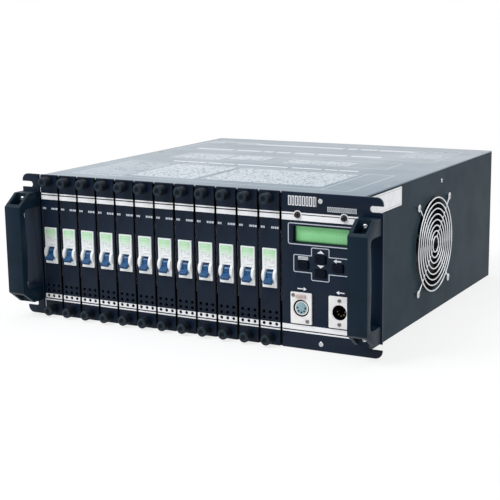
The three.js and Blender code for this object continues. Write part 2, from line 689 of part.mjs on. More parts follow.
// Handle in side view: arms that slope to the grip, which swells into the finger gap, and a screw
// pocket in each arm
function handle() {
  const gripBack = HANDLE_GRIP_THICK - HANDLE_REACH;
  const bend = HANDLE_WINDOW_RADIUS;
  const windowBend = handleWindowHalf - bend;
  const gripHalf = handleHalf - HANDLE_SLOPE_RISE;
  const swell = [];
  for (let i = 1; i < HANDLE_GRIP_STEPS; i += 1) {
    const share = i / HANDLE_GRIP_STEPS;
    const depth = HANDLE_GRIP_SWELL * Math.sin(share * Math.PI);
    swell.push([gripBack + depth, windowBend * (2 * share - 1)]);
  }
  const profile = polygon([
    [0, -handleHalf], [0, -handleWindowHalf],
    ...arc(gripBack + bend, -windowBend, bend, -QUARTER_TURN, -Math.PI, HANDLE_WINDOW_STEPS),
    ...swell,
    ...arc(gripBack + bend, windowBend, bend, Math.PI, QUARTER_TURN, HANDLE_WINDOW_STEPS),
    [0, handleWindowHalf], [0, handleHalf], [-HANDLE_FOOT, handleHalf],
    [-HANDLE_REACH, gripHalf], [-HANDLE_REACH, -gripHalf], [-HANDLE_FOOT, -handleHalf],
  ]);
  const pocketHalf = POCKET_WIDTH * HALF;
  const floor = handleWindowHalf + POCKET_FLOOR;
  const pockets = SIDES.map((side) => {
    const near = side * floor;
    const far = side * (handleHalf + OVERRUN);
    return block(-pocketHalf, pocketHalf, -POCKET_END, -POCKET_WALL,
      Math.min(near, far), Math.max(near, far));
  });
  return shaped(alongX(profile, -HANDLE_WIDTH * HALF, HANDLE_WIDTH * HALF), [], pockets);
}

// Fan about its own middle, its air running along X
function fanFrame() {
  const half = FAN_SIZE * HALF;
  const thick = FAN_THICK * HALF;
  const outline = rectangle(-half, half, -half, half);
  outline.holes.push(circle(0, 0, FAN_BORE_RADIUS, FAN_BORE_SIDES));
  const strutBack = FAN_STRUT_THICK - thick;
  const joined = [rodX(0, 0, FAN_HUB_RADIUS, -thick, strutBack, FAN_HUB_SIDES)];
  const strutHalf = FAN_STRUT_WIDTH * HALF;
  const strutEnd = FAN_BORE_RADIUS + strutHalf;
  for (const turn of [EIGHTH_TURN, -EIGHTH_TURN]) {
    const strut = block(-thick, strutBack, -strutEnd, strutEnd, -strutHalf, strutHalf);
    joined.push(strut.rotateX(turn));
  }
  return shaped(alongX(outline, -thick, thick), joined);
}

function fanRotor() {
  const back = FAN_STRUT_THICK + FIT - FAN_THICK * HALF;
  const front = back + FAN_ROTOR_LENGTH;
  const middle = (back + front) * HALF;
  const blades = [];
  for (let i = 0; i < FAN_BLADE_COUNT; i += 1) {
    const blade = block(-FAN_BLADE_THICK * HALF, FAN_BLADE_THICK * HALF, -FAN_BLADE_CHORD * HALF,
      FAN_BLADE_CHORD * HALF, FAN_HUB_RADIUS * HALF, FAN_BLADE_TIP);
    blade.rotateZ(THREE.MathUtils.degToRad(FAN_BLADE_PITCH_ANGLE));
    blade.translate(middle, 0, 0);
    blades.push(blade.rotateX(FULL_TURN * i / FAN_BLADE_COUNT));
  }
  return shaped(rodX(0, 0, FAN_HUB_RADIUS, back, front, FAN_HUB_SIDES), blades);
}

// Wire guard whose lugs stand on the case wall at x = 0
function fanGuard() {
  const spokeX = GUARD_LUG_THICK - GUARD_WIRE_RADIUS * HALF;
  const ringX = spokeX + 2 * GUARD_WIRE_RADIUS - GUARD_SPOKE_OVERLAP;
  const lugCircle = FAN_SCREW_PITCH * Math.SQRT1_2;
  const rings = [];
  for (let i = 0; i < GUARD_RING_COUNT; i += 1) {
    const ring = new THREE.TorusGeometry(GUARD_OUTER_RADIUS - i * GUARD_RING_PITCH, GUARD_WIRE_RADIUS,
      GUARD_WIRE_SIDES, GUARD_RING_STEPS);
    rings.push(ring.rotateY(QUARTER_TURN).translate(ringX, 0, 0));
  }
  const spokes = [];
  for (let i = 0; i < GUARD_SPOKE_COUNT; i += 1) {
    const angle = (i + HALF) * FULL_TURN / GUARD_SPOKE_COUNT;
    const spoke = new THREE.CylinderGeometry(GUARD_WIRE_RADIUS, GUARD_WIRE_RADIUS, lugCircle,
      GUARD_SPOKE_SIDES);
    spoke.translate(0, lugCircle * HALF, 0).rotateX(angle);
    spokes.push(spoke.translate(spokeX, 0, 0));
    spokes.push(rodX(lugCircle * Math.cos(angle), lugCircle * Math.sin(angle), GUARD_LUG_RADIUS, 0,
      GUARD_LUG_THICK, GUARD_LUG_SIDES));
  }
  return shaped(rings[0], [...spokes, ...rings.slice(1)]);
}

// Board that the modules plug into
function backplane() {
  const front = CARRIER_DEPTH + FIT;
  const back = front + BACKPLANE_PLUG_DEPTH;
  const plugHalf = (modulePitch - BACKPLANE_PLUG_GAP) * HALF;
  const plugs = [];
  for (let i = 0; i < MODULE_COUNT; i += 1) {
    plugs.push(block(moduleX(i) - plugHalf, moduleX(i) + plugHalf, front, back,
      panelMiddle - BACKPLANE_PLUG_HEIGHT * HALF, panelMiddle + BACKPLANE_PLUG_HEIGHT * HALF));
  }
  return shaped(block(FIT - caseInnerHalf, rowRight, back, back + BACKPLANE_THICK, frameBottom,
    frameTop - BACKPLANE_TOP_ROOM), plugs);
}

// Supply gland in the rear panel, its mouth at the back
function supplyGland() {
  const profile = [
    [GLAND_BORE_RADIUS, -SHEET - GLAND_THREAD_LENGTH], [GLAND_THREAD_RADIUS, -SHEET - GLAND_THREAD_LENGTH],
    [GLAND_THREAD_RADIUS, 0], [GLAND_CAP_RADIUS, 0], [GLAND_CAP_RADIUS, GLAND_REACH - GLAND_HEX_LENGTH],
    [GLAND_NECK_RADIUS, GLAND_REACH], [GLAND_BORE_RADIUS, GLAND_REACH],
    [GLAND_BORE_RADIUS, -SHEET - GLAND_THREAD_LENGTH],
  ];
  const turned = new THREE.LatheGeometry(profile.map(([r, y]) => new THREE.Vector2(r, y)), GLAND_CAP_SIDES);
  const hex = circle(0, 0, GLAND_HEX_RADIUS, GLAND_HEX_SIDES);
  hex.holes.push(circle(0, 0, GLAND_BORE_RADIUS + FIT, GLAND_CAP_SIDES));
  return shaped(turned, [alongY(hex, 0, GLAND_HEX_LENGTH)]);
}

// Multipin outlet: plate, shell round an open cavity, and the contact block behind the panel
function outletConnector() {
  const shellHalfWidth = OUTLET_SHELL_WIDTH * HALF;
  const shellHalfHeight = OUTLET_SHELL_HEIGHT * HALF;
  const innerWidth = shellHalfWidth - OUTLET_SHELL_WALL;
  const innerHeight = shellHalfHeight - OUTLET_SHELL_WALL;
  const flange = block(-OUTLET_PLATE_WIDTH * HALF, OUTLET_PLATE_WIDTH * HALF, 0, OUTLET_PLATE_THICK,
    -OUTLET_PLATE_HEIGHT * HALF, OUTLET_PLATE_HEIGHT * HALF);
  const shell = block(-shellHalfWidth, shellHalfWidth, OUTLET_PLATE_THICK * HALF, OUTLET_REACH,
    -shellHalfHeight, shellHalfHeight);
  const contacts = block(-innerWidth, innerWidth, -OUTLET_BACK_DEPTH, OUTLET_PLATE_THICK * HALF,
    -innerHeight, innerHeight);
  const cavity = block(-innerWidth, innerWidth, OUTLET_REACH - OUTLET_CAVITY_DEPTH, OUTLET_REACH + OVERRUN,
    -innerHeight, innerHeight);
  return shaped(flange, [shell, contacts], [cavity]);
}

// Assembly
const pack = new THREE.Group();
const front = new THREE.Group();
front.position.z = PANEL_LIFT;
pack.add(front);

piece('chassis_tray', chassisTray(), finishes.casePaint, pack);
piece('top_cover', topCover(), finishes.casePaint, pack);
piece('rear_panel', rearPanel(), finishes.casePaint, pack);
piece('card_frame', cardFrame(), finishes.railSteel, pack);
piece('backplane', backplane(), finishes.boardGreen, pack);

piece('left_ear', leftEar(), finishes.frontPaint, front);
piece('control_panel', controlPanel(), finishes.frontPaint, front);
piece('control_board', controlBoard(), finishes.boardGreen, front);
piece('display', display(), finishes.displayGreen, front);

const buttonGeometry = pushButton();
for (const [name, [dx, z]] of Object.entries(buttonPlaces)) {
  piece(name, buttonGeometry, finishes.blackPlastic, front).position.set(controlX + dx, 0, z);
}

const connectors = [
  ['output_socket', outputSocket(), finishes.nickel, -1],
  ['socket_latch', socketLatch(), finishes.nickel, -1],
  ['input_plug', inputPlug(), finishes.nickel, 1],
];
for (const [name, geometry, material, side] of connectors) {
  piece(name, geometry, material, front).position.set(controlX + side * SOCKET_SPREAD, 0, socketCentre);
}

const handleGeometry = handle();
for (const [name, side] of [['left_handle', -1], ['right_handle', 1]]) {
  piece(name, handleGeometry, finishes.blackPlastic, front)
    .position.set(side * handleX, 0, panelMiddle - HANDLE_DROP);
}

const moduleGeometry = dimmerModule();
const breakerGeometry = breaker();
const leverGeometry = breakerLever();
for (let i = 0; i < MODULE_COUNT; i += 1) {
  const number = String(i + 1).padStart(NUMBER_DIGITS, '0');
  const module = new THREE.Group();
  module.position.x = moduleX(i);
  front.add(module);
  piece(`dimmer_module_${number}`, moduleGeometry, finishes.frontPaint, module);
  piece(`breaker_${number}`, breakerGeometry, finishes.breakerWhite, module);
  piece(`breaker_lever_${number}`, leverGeometry, finishes.leverBlue, module)
    .position.set(0, LEVER_PIVOT_DEPTH, leverPivotZ);
}

const fan = new THREE.Group();
fan.position.set(caseInnerHalf - FIT - FAN_THICK * HALF, FAN_CENTRE_Y, fanCentreZ);
pack.add(fan);
piece('fan_frame', fanFrame(), finishes.fanBlack, fan);
piece('fan_rotor', fanRotor(), finishes.fanBlack, fan);
piece('fan_guard', fanGuard(), finishes.wireChrome, pack).position.set(caseHalf, FAN_CENTRE_Y, fanCentreZ);

piece('supply_gland', supplyGland(), finishes.glandGrey, pack)
  .position.set(glandX, CASE_DEPTH, GLAND_CENTRE_Z);
const outletGeometry = outletConnector();
for (const [name, side] of [['outlet_connector_a', -1], ['outlet_connector_b', 1]]) {
  piece(name, outletGeometry, finishes.glandGrey, pack)
    .position.set(outletsX + side * OUTLET_SPREAD, CASE_DEPTH, OUTLET_CENTRE_Z);
}

// The origin lies under the middle of the whole pack, grips and gland counted
pack.position.y = (HANDLE_REACH - CASE_DEPTH - GLAND_REACH) * HALF;

export default pack;
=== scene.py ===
"""Studio scene of a rack dimmer pack: detailed pieces, finishes, light and camera.

Lengths are millimetres in the part's frame until a mesh is made, and metres from there on.

The last word of a field's name says what it holds. A half is half a width, or half a width and
half a height. Sides are where something starts and ends across, and rows are heights, such as
where it starts and ends. A reach is how far out it starts and ends, before the panel's face, behind
the rear panel's, or from the fan's or the lever's middle. A spread is a distance from the middle,
and an edge is the rounding of edges. A turned form is a row of pairs of radius and place along its
axis. A height that goes through panel_z counts from the panel's lower edge, and the others from the
frame's zero.
"""

from __future__ import annotations

import json
import logging
import math
from collections.abc import Callable, Iterable, Sequence
from dataclasses import dataclass, field
from enum import Enum
from functools import reduce
from operator import or_

import bmesh
import bpy
from mathutils import Matrix, Vector

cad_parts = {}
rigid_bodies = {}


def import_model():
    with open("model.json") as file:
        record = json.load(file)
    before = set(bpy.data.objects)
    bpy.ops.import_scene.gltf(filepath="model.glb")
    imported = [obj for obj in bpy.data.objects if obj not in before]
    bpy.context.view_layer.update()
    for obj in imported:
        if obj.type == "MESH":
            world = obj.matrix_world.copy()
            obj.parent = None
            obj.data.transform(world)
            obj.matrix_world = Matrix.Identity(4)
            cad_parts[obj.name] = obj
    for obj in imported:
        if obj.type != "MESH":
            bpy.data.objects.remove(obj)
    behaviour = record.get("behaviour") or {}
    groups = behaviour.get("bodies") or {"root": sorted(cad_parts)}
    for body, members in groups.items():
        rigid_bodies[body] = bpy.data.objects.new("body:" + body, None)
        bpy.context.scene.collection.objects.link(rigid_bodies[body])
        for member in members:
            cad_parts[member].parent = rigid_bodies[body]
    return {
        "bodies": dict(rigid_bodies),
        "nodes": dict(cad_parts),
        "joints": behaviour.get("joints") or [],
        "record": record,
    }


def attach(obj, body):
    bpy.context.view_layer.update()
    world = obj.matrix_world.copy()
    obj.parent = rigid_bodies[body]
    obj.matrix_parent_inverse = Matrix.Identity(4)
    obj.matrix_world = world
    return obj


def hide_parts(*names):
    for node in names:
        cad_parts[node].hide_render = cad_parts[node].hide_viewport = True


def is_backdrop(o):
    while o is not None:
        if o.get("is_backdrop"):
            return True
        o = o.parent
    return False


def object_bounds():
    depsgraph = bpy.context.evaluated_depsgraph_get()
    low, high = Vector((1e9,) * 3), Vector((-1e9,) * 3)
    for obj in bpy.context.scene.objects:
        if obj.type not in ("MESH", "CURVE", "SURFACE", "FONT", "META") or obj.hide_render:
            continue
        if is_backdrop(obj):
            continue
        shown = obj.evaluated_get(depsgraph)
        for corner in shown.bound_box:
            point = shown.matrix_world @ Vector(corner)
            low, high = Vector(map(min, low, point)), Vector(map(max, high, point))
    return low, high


LOG = logging.getLogger("dimmer_pack")

Point = tuple[float, float]
Place = tuple[float, float, float]
Stroke = tuple[float, float, float, float]
Colour = tuple[float, float, float]

MM = 0.001  # one millimetre in metres
PANEL_Y = -218.0  # the front face of the panel line
PANEL_BACK = -215.0  # its rear face
LIFT = 0.3  # the height of the panel line's lower edge
PANEL_HEIGHT = 177.0
PANEL_HALF = 241.3  # half the width over both ears
CASE_HALF = 216.0  # half the width of the case
CASE_REAR = 232.0
LID_TOP = 176.0
BREAKER_CENTRE = 89.3  # the height of a breaker's middle

CHASSIS = "chassis"  # the body that all fixed pieces ride on
SIDES = (-1, 1)
FORM_TURN = 25.0  # edges of a plain form that turn by more degrees are rounded
CARVED_TURN = 28.0  # the same for a form with cut-outs


class Axis(Enum):
    """The direction that an outline is drawn out along."""

    X = 0
    Y = 1
    Z = 2

    def place(self, a: float, b: float, along: float) -> Place:
        """Turns a point of the outline's plane into a place.

        Args:
            a: its first coordinate.
            b: its second coordinate.
            along: how far along the axis it stands.

        Returns:
            The place.
        """
        if self is Axis.X:
            return (along, a, b)
        if self is Axis.Y:
            return (a, along, b)
        return (a, b, along)


class Look(Enum):
    """The way that a screw's head looks, as a turn in degrees and the turn's axis."""

    FRONT = (0.0, "Z")
    RIGHT = (90.0, "Z")
    TOP = (-90.0, "X")
    BACK = (180.0, "Z")

    def turn(self) -> Matrix:
        """Returns the turn that a head which looks along -Y takes."""
        angle, axis = self.value
        return Matrix.Rotation(math.radians(angle), 4, axis)


class Way(Enum):
    """The way that a printed arrow points."""

    UP = 0
    DOWN = 1
    RIGHT = 2
    LEFT = 3


class Key(Enum):
    """The push buttons, each with its place from the bay's middle and the panel's lower edge."""

    MENU = (-21.0, 96.1)
    UP = (0.0, 103.9)
    DOWN = (0.0, 88.3)
    ESCAPE = (21.0, 96.1)


class Slot(Enum):
    """The record's material slots."""

    FRONT_PAINT = "front_paint"
    CASE_PAINT = "case_paint"
    BLACK_PLASTIC = "black_plastic"
    HANDLE_PLASTIC = "handle_plastic"
    BREAKER_PLASTIC = "breaker_plastic"
    LEVER_PLASTIC = "lever_plastic"
    DISPLAY_GREEN = "display_green"
    CONNECTOR_METAL = "connector_metal"
    FAN_PLASTIC = "fan_plastic"
    GUARD_WIRE = "guard_wire"
    GLAND_PLASTIC = "gland_plastic"


def panel_z(height: float) -> float:
    """Returns the frame height of a height that counts from the panel's lower edge."""
    return height + LIFT


def before_panel(profile: Sequence[Point]) -> list[Point]:
    """Turns a profile's distances before the panel's face into places along Y."""
    return [(radius, PANEL_Y - out) for radius, out in profile]


def linear(colour: Colour) -> tuple[float, float, float, float]:
    """Turns a colour of 0 to 255 steps into the shader's linear colour.

    Args:
        colour: red, green and blue as they look on a screen.

    Returns:
        The linear colour with full opacity.
    """
    steps = [c / 255.0 for c in colour]
    red, green, blue = (s / 12.92 if s <= 0.04045 else ((s + 0.055) / 1.055) ** 2.4 for s in steps)
    return (red, green, blue, 1.0)


def arc(centre: Point, radius: float, start: float, end: float, steps: int) -> list[Point]:
    """Lists points on an arc.

    Args:
        centre: its centre.
        radius: its radius.
        start: the first point's angle in degrees.
        end: the last point's angle in degrees.
        steps: how many chords the arc has.

    Returns:
        steps + 1 points.
    """
    angles = [math.radians(start + (end - start) * i / steps) for i in range(steps + 1)]
    return [(centre[0] + radius * math.cos(t), centre[1] + radius * math.sin(t)) for t in angles]


def ring(centre: Point, radius: float, sides: int) -> list[Point]:
    """Lists the corners of a regular polygon."""
    return arc(centre, radius, 0.0, 360.0, sides)[:-1]


def rounded(low: Point, high: Point, radius: float, steps: int = 4) -> list[Point]:
    """Lists the outline of a rectangle with round corners, counterclockwise.

    Args:
        low: its lower left corner.
        high: its upper right corner.
        radius: the radius of its corners.
        steps: the chords of each.

    Returns:
        The points.
    """
    (x0, y0), (x1, y1) = low, high
    return (
        arc((x1 - radius, y0 + radius), radius, -90.0, 0.0, steps)
        + arc((x1 - radius, y1 - radius), radius, 0.0, 90.0, steps)
        + arc((x0 + radius, y1 - radius), radius, 90.0, 180.0, steps)
        + arc((x0 + radius, y0 + radius), radius, 180.0, 270.0, steps)
    )


@dataclass(frozen=True)
class Grooves:
    """Grooves along the side of a turned form, in millimetres.

    Attributes:
        pitch: how many facets there are from one groove to the next.
        first: the first groove's facet.
        depth: the grooves' depth.
        beyond: only what is further out than this is grooved.
    """

    pitch: int
    first: int
    depth: float
    beyond: float

    def cut(self, facet: int, radius: float) -> float:
        """Returns how far a facet's corner moves in."""
        return self.depth * (facet % self.pitch == self.first and radius > self.beyond)


class Draft:
    """Gathers closed forms, in millimetres, into one mesh."""

    def __init__(self) -> None:
        """Starts empty."""
        self.body = bmesh.new()

    def absorb(self, part: bmesh.types.BMesh, material: int = 0) -> None:
        """Adds a form and frees it.

        Args:
            part: the form.
            material: the index of its material.
        """
        bmesh.ops.recalc_face_normals(part, faces=part.faces)
        for face in part.faces:
            face.material_index = material
        mesh = bpy.data.meshes.new("form")
        part.to_mesh(mesh)
        part.free()
        self.body.from_mesh(mesh)
        bpy.data.meshes.remove(mesh)

    def prism(
        self,
        outline: Sequence[Point],
        axis: Axis,
        start: float,
        end: float,
        edge: float = 0.0,
        steps: int = 2,
        material: int = 0,
    ) -> None:
        """Adds an outline drawn out along an axis, its sharp edges rounded.

        Args:
            outline: the corners.
            axis: the direction.
            start: where it starts along the axis.
            end: where it ends.
            edge: the width of the rounding.
            steps: the facets of the rounding.
            material: the index of its material.
        """
        part = bmesh.new()
        near = [part.verts.new(axis.place(a, b, start)) for a, b in outline]
        far = [part.verts.new(axis.place(a, b, end)) for a, b in outline]
        part.faces.new(near)
        part.faces.new(far[::-1])
        for i in range(len(outline)):
            j = (i + 1) % len(outline)
            part.faces.new((near[i], far[i], far[j], near[j]))
        bmesh.ops.recalc_face_normals(part, faces=part.faces)
        soften(part, edge, steps, FORM_TURN)
        self.absorb(part, material)

    def box(
        self,
        low: Place,
        high: Place,
        edge: float = 0.0,
        steps: int = 2,
        material: int = 0,
    ) -> None:
        """Adds a box between two corners, its edges rounded."""
        outline = [(low[0], low[1]), (high[0], low[1]), (high[0], high[1]), (low[0], high[1])]
        self.prism(outline, Axis.Z, low[2], high[2], edge, steps, material)

    def lathe(
        self,
        profile: Sequence[Point],
        axis: Axis,
        centre: Point,
        sides: int,
        closed: bool = False,
        material: int = 0,
        grooves: Grooves | None = None,
    ) -> None:
        """Adds a profile turned about an axis.

        Args:
            profile: pairs of radius and place along the axis.
            axis: the axis.
            centre: where the axis crosses its plane.
            sides: how many facets go round.
            closed: whether the last pair joins the first one.
            material: the index of its material.
            grooves: the grooves along its side.
        """
        part = bmesh.new()
        rows: list[list[bmesh.types.BMVert]] = []
        for radius, along in profile:
            if radius <= 0.0:
                rows.append([part.verts.new(axis.place(centre[0], centre[1], along))])
                continue
            row = []
            for i in range(sides):
                turn = 2.0 * math.pi * i / sides
                reach = radius - (grooves.cut(i, radius) if grooves else 0.0)
                a = centre[0] + reach * math.cos(turn)
                b = centre[1] + reach * math.sin(turn)
                row.append(part.verts.new(axis.place(a, b, along)))
            rows.append(row)
        pairs = list(zip(rows, rows[1:]))
        if closed:
            pairs.append((rows[-1], rows[0]))
        for first, second in pairs:
            for i in range(sides):
                j = (i + 1) % sides
                corners = [first[i % len(first)], second[i % len(second)]]
                if len(second) > 1:
                    corners.append(second[j])
                if len(first) > 1:
                    corners.append(first[j])
                part.faces.new(corners)
        for row in (rows[0], rows[-1]):
            if not closed and len(row) > 1:
                part.faces.new(row)
        self.absorb(part, material)

    def wire(self, points: Sequence[Vector], radius: float, sides: int, material: int = 0) -> None:
        """Adds a round wire through points, with flat ends.

        Args:
            points: the centreline.
            radius: the wire's radius.
            sides: the facets round it.
            material: the index of its material.
        """
        part = bmesh.new()
        rows = []
        up = Vector((1.0, 0.0, 0.0))
        for i, point in enumerate(points):
            ahead = (points[min(i + 1, len(points) - 1)] - points[max(i - 1, 0)]).normalized()
            across = up.cross(ahead).normalized()
            other = ahead.cross(across).normalized()
            row = []
            for k in range(sides):
                turn = 2.0 * math.pi * k / sides
                out = math.cos(turn) * across + math.sin(turn) * other
                row.append(part.verts.new(point + radius * out))
            rows.append(row)
        for first, second in zip(rows, rows[1:]):
            for k in range(sides):
                j = (k + 1) % sides
                part.faces.new((first[k], first[j], second[j], second[k]))
        part.faces.new(rows[0])
        part.faces.new(rows[-1])
        self.absorb(part, material)

    def plate(
        self,
        outline: Sequence[Point],
        holes: Sequence[Sequence[Point]],
        axis: Axis,
        start: float,
        end: float,
        edge: float = 0.4,
        material: int = 0,
    ) -> None:
        """Adds a flat plate with holes and rounded edges.

        Args:
            outline: its corners.
            holes: the corners of each hole.
            axis: the direction of its thickness.
            start: one face's place along the axis.
            end: the other face's place.
            edge: the width of the rounding.
            material: the index of its material.
        """
        curve = bpy.data.curves.new("plate", "CURVE")
        curve.dimensions = "2D"
        curve.fill_mode = "BOTH"
        curve.extrude = (end - start) / 2.0 - edge
        curve.bevel_depth = edge
        curve.bevel_resolution = 2
        curve.offset = -edge
        for corners in (outline, *holes):
            spline = curve.splines.new("POLY")
            spline.points.add(len(corners) - 1)
            for point, (a, b) in zip(spline.points, corners):
                point.co = (a, b, 0.0, 1.0)
            spline.use_cyclic_u = True
        mesh = baked(bpy.data.objects.new("plate", curve))
        bpy.data.curves.remove(curve)
        part = bmesh.new()
        part.from_mesh(mesh)
        bpy.data.meshes.remove(mesh)
        bmesh.ops.remove_doubles(part, verts=part.verts, dist=1e-5)
        middle = (start + end) / 2.0
        for vertex in part.verts:
            a, b, along = vertex.co
            vertex.co = axis.place(a, b, middle + along)
        self.absorb(part, material)

    def add(self, mesh: bpy.types.Mesh) -> None:
        """Adds a mesh that is in millimetres, with its materials' indices, and removes it."""
        self.body.from_mesh(mesh)
        bpy.data.meshes.remove(mesh)

    def mesh(self, name: str, scale: float = MM, sharp: float = 32.0) -> bpy.types.Mesh:
        """Ends the draft and makes its mesh.

        Args:
            name: the mesh's name.
            scale: what its lengths are multiplied by.
            sharp: edges turning by more degrees than this stay sharp.

        Returns:
            The mesh.
        """
        bmesh.ops.scale(self.body, vec=(scale, scale, scale), verts=self.body.verts)
        limit = math.radians(sharp)
        for face in self.body.faces:
            face.smooth = True
        for side in self.body.edges:
            side.smooth = not (side.is_manifold and side.calc_face_angle(0.0) > limit)
        mesh = bpy.data.meshes.new(name)
        self.body.to_mesh(mesh)
        self.body.free()
        return mesh


def soften(part: bmesh.types.BMesh, width: float, steps: int, sharper_than: float) -> None:
    """Rounds a form's sharp edges.

    Args:
        part: the form.
        width: the rounding's width, or 0 for none.
        steps: the rounding's facets.
        sharper_than: the least turn of a rounded edge, in degrees.
    """
    if width <= 0.0:
        return
    limit = math.radians(sharper_than)
    edges = [e for e in part.edges if e.is_manifold and e.calc_face_angle(0.0) > limit]
    bmesh.ops.bevel(
        part,
        geom=edges,
        offset=width,
        offset_type="OFFSET",
        segments=steps,
        profile=0.5,
        affect="EDGES",
        clamp_overlap=True,
    )


def baked(shape: bpy.types.Object) -> bpy.types.Mesh:
    """Makes a mesh of an object as its modifiers shape it, and removes the object.

    Args:
        shape: the object.

    Returns:
        The mesh.
    """
    bpy.context.scene.collection.objects.link(shape)
    graph = bpy.context.evaluated_depsgraph_get()
    mesh = bpy.data.meshes.new_from_object(shape.evaluated_get(graph))
    bpy.data.objects.remove(shape)
    return mesh


def carved(base: Draft, cutters: Sequence[Draft], edge: float, steps: int = 2) -> bpy.types.Mesh:
    """Takes forms out of a form and rounds what is left.

    Args:
        base: the form that is cut, in millimetres.
        cutters: the forms that are taken out.
        edge: the width of the rounding.
        steps: the rounding's facets.

    Returns:
        The mesh, in millimetres.
    """
    target = bpy.data.objects.new("carved", base.mesh("carved", 1.0))
    tools = []
    for cutter in cutters:
        tool = bpy.data.objects.new("cutter", cutter.mesh("cutter", 1.0))
        bpy.context.scene.collection.objects.link(tool)
        tools.append(tool)
        cut = target.modifiers.new("cut", "BOOLEAN")
        cut.operation = "DIFFERENCE"
        cut.solver = "EXACT"
        cut.object = tool
    mesh = baked(target)
    for tool in tools:
        bpy.data.objects.remove(tool)
    part = bmesh.new()
    part.from_mesh(mesh)
    bmesh.ops.remove_doubles(part, verts=part.verts, dist=1e-4)
    flat = math.radians(0.5)
    bmesh.ops.dissolve_limit(part, angle_limit=flat, verts=part.verts, edges=part.edges)
    soften(part, edge, steps, CARVED_TURN)
    part.to_mesh(mesh)
    part.free()
    return mesh


class Number:
    """A number in a shader, with arithmetic that adds nodes."""

    def __init__(self, tree: Tree, socket: bpy.types.NodeSocket) -> None:
        """Wraps a node's output."""
        self.tree = tree
        self.socket = socket

    def math(self, operation: str, *values: Number | float) -> Number:
        """Adds a Math node that takes the values in their order."""
        inputs: dict[int | str, object] = dict(enumerate(values))
        return self.tree.number("ShaderNodeMath", {"operation": operation}, inputs)

    def __add__(self, other: Number | float) -> Number:
        """Adds."""
        return self.math("ADD", self, other)

    __radd__ = __add__

    def __sub__(self, other: Number | float) -> Number:
        """Subtracts."""
        return self.math("SUBTRACT", self, other)

    def __rsub__(self, other: float) -> Number:
        """Subtracts from a plain number."""
        return self.math("SUBTRACT", other, self)

    def __mul__(self, other: Number | float) -> Number:
        """Multiplies."""
        return self.math("MULTIPLY", self, other)

    __rmul__ = __mul__

    def __truediv__(self, other: Number | float) -> Number:
        """Divides."""
        return self.math("DIVIDE", self, other)

    def __rtruediv__(self, other: float) -> Number:
        """Divides a plain number."""
        return self.math("DIVIDE", other, self)

    def __lt__(self, other: Number | float) -> Number:
        """Gives 1 where it is less."""
        return self.math("LESS_THAN", self, other)

    def __gt__(self, other: Number | float) -> Number:
        """Gives 1 where it is greater."""
        return self.math("GREATER_THAN", self, other)

    def __abs__(self) -> Number:
        """Drops the sign."""
        return self.math("ABSOLUTE", self)

    def __or__(self, other: Number | float) -> Number:
        """Gives the greater one, which joins two masks."""
        return self.math("MAXIMUM", self, other)

    __ror__ = __or__

    def __and__(self, other: Number | float) -> Number:
        """Gives the lesser one, which keeps what two masks share."""
        return self.math("MINIMUM", self, other)

    __rand__ = __and__

    def squared(self) -> Number:
        """Gives the square."""
        return self.math("MULTIPLY", self, self)

    def root(self) -> Number:
        """Gives the square root."""
        return self.math("SQRT", self)

    def floor(self) -> Number:
        """Rounds down."""
        return self.math("FLOOR", self)

    def fract(self) -> Number:
        """Keeps what is over a whole number."""
        return self.math("FRACT", self)

    def between(self, low: float, high: float) -> Number:
        """Gives 1 between two plain numbers."""
        return abs(self - (low + high) / 2.0) < (high - low) / 2.0

    def ease(self, low: float, high: float) -> Number:
        """Goes smoothly from 0 at low to 1 at high."""
        inputs = {"Value": self, "From Min": low, "From Max": high}
        return self.tree.number("ShaderNodeMapRange", {"interpolation_type": "SMOOTHSTEP"}, inputs)


class Tree:
    """The nodes of one material or of the world."""

    def __init__(self, owner: bpy.types.Material | bpy.types.World) -> None:
        """Empties the owner's nodes.

        Args:
            owner: the material or the world.
        """
        owner.use_nodes = True
        self.owner = owner
        self.nodes = owner.node_tree.nodes
        self.links = owner.node_tree.links
        self.nodes.clear()

    def node(
        self,
        kind: str,
        settings: dict[str, object] | None = None,
        inputs: dict[int | str, object] | None = None,
    ) -> bpy.types.Node:
        """Adds a node.

        Args:
            kind: its type.
            settings: its properties.
            inputs: a value, a Number or a socket for each input's name or index.

        Returns:
            The node.
        """
        made = self.nodes.new(kind)
        for name, value in (settings or {}).items():
            setattr(made, name, value)
        for key, value in (inputs or {}).items():
            socket = value.socket if isinstance(value, Number) else value
            if isinstance(socket, bpy.types.NodeSocket):
                self.links.new(socket, made.inputs[key])
            else:
                made.inputs[key].default_value = socket
        return made

    def number(
        self,
        kind: str,
        settings: dict[str, object] | None = None,
        inputs: dict[int | str, object] | None = None,
    ) -> Number:
        """Adds a node and wraps its first output."""
        return Number(self, self.node(kind, settings, inputs).outputs[0])

    def place(self) -> tuple[Number, Number, Number]:
        """Reads the object's own coordinates.

        Returns:
            x, y and z in millimetres.
        """
        coordinates = self.node("ShaderNodeTexCoord").outputs["Object"]
        split = self.node("ShaderNodeSeparateXYZ", {}, {0: coordinates})
        x, y, z = (Number(self, split.outputs[i]) * (1.0 / MM) for i in range(3))
        return x, y, z

    def noise(self, size: float, detail: float = 3.0) -> Number:
        """Adds noise in the object's space.

        Args:
            size: the size of its patches in millimetres.
            detail: its octaves.

        Returns:
            The noise, about 0.5.
        """
        where = self.node("ShaderNodeTexCoord").outputs["Object"]
        inputs = {"Vector": where, "Scale": 1.0 / (size * MM), "Detail": detail, "Roughness": 0.55}
        return self.number("ShaderNodeTexNoise", {}, inputs)

    def mix(self, amount: Number | float, first: object, second: object) -> bpy.types.NodeSocket:
        """Mixes two colours.

        Args:
            amount: the second one's share.
            first: a colour or a colour socket.
            second: a colour or a colour socket.

        Returns:
            The mixed colour's socket.
        """
        inputs = {0: amount, 6: first, 7: second}
        return self.node("ShaderNodeMix", {"data_type": "RGBA"}, inputs).outputs[2]


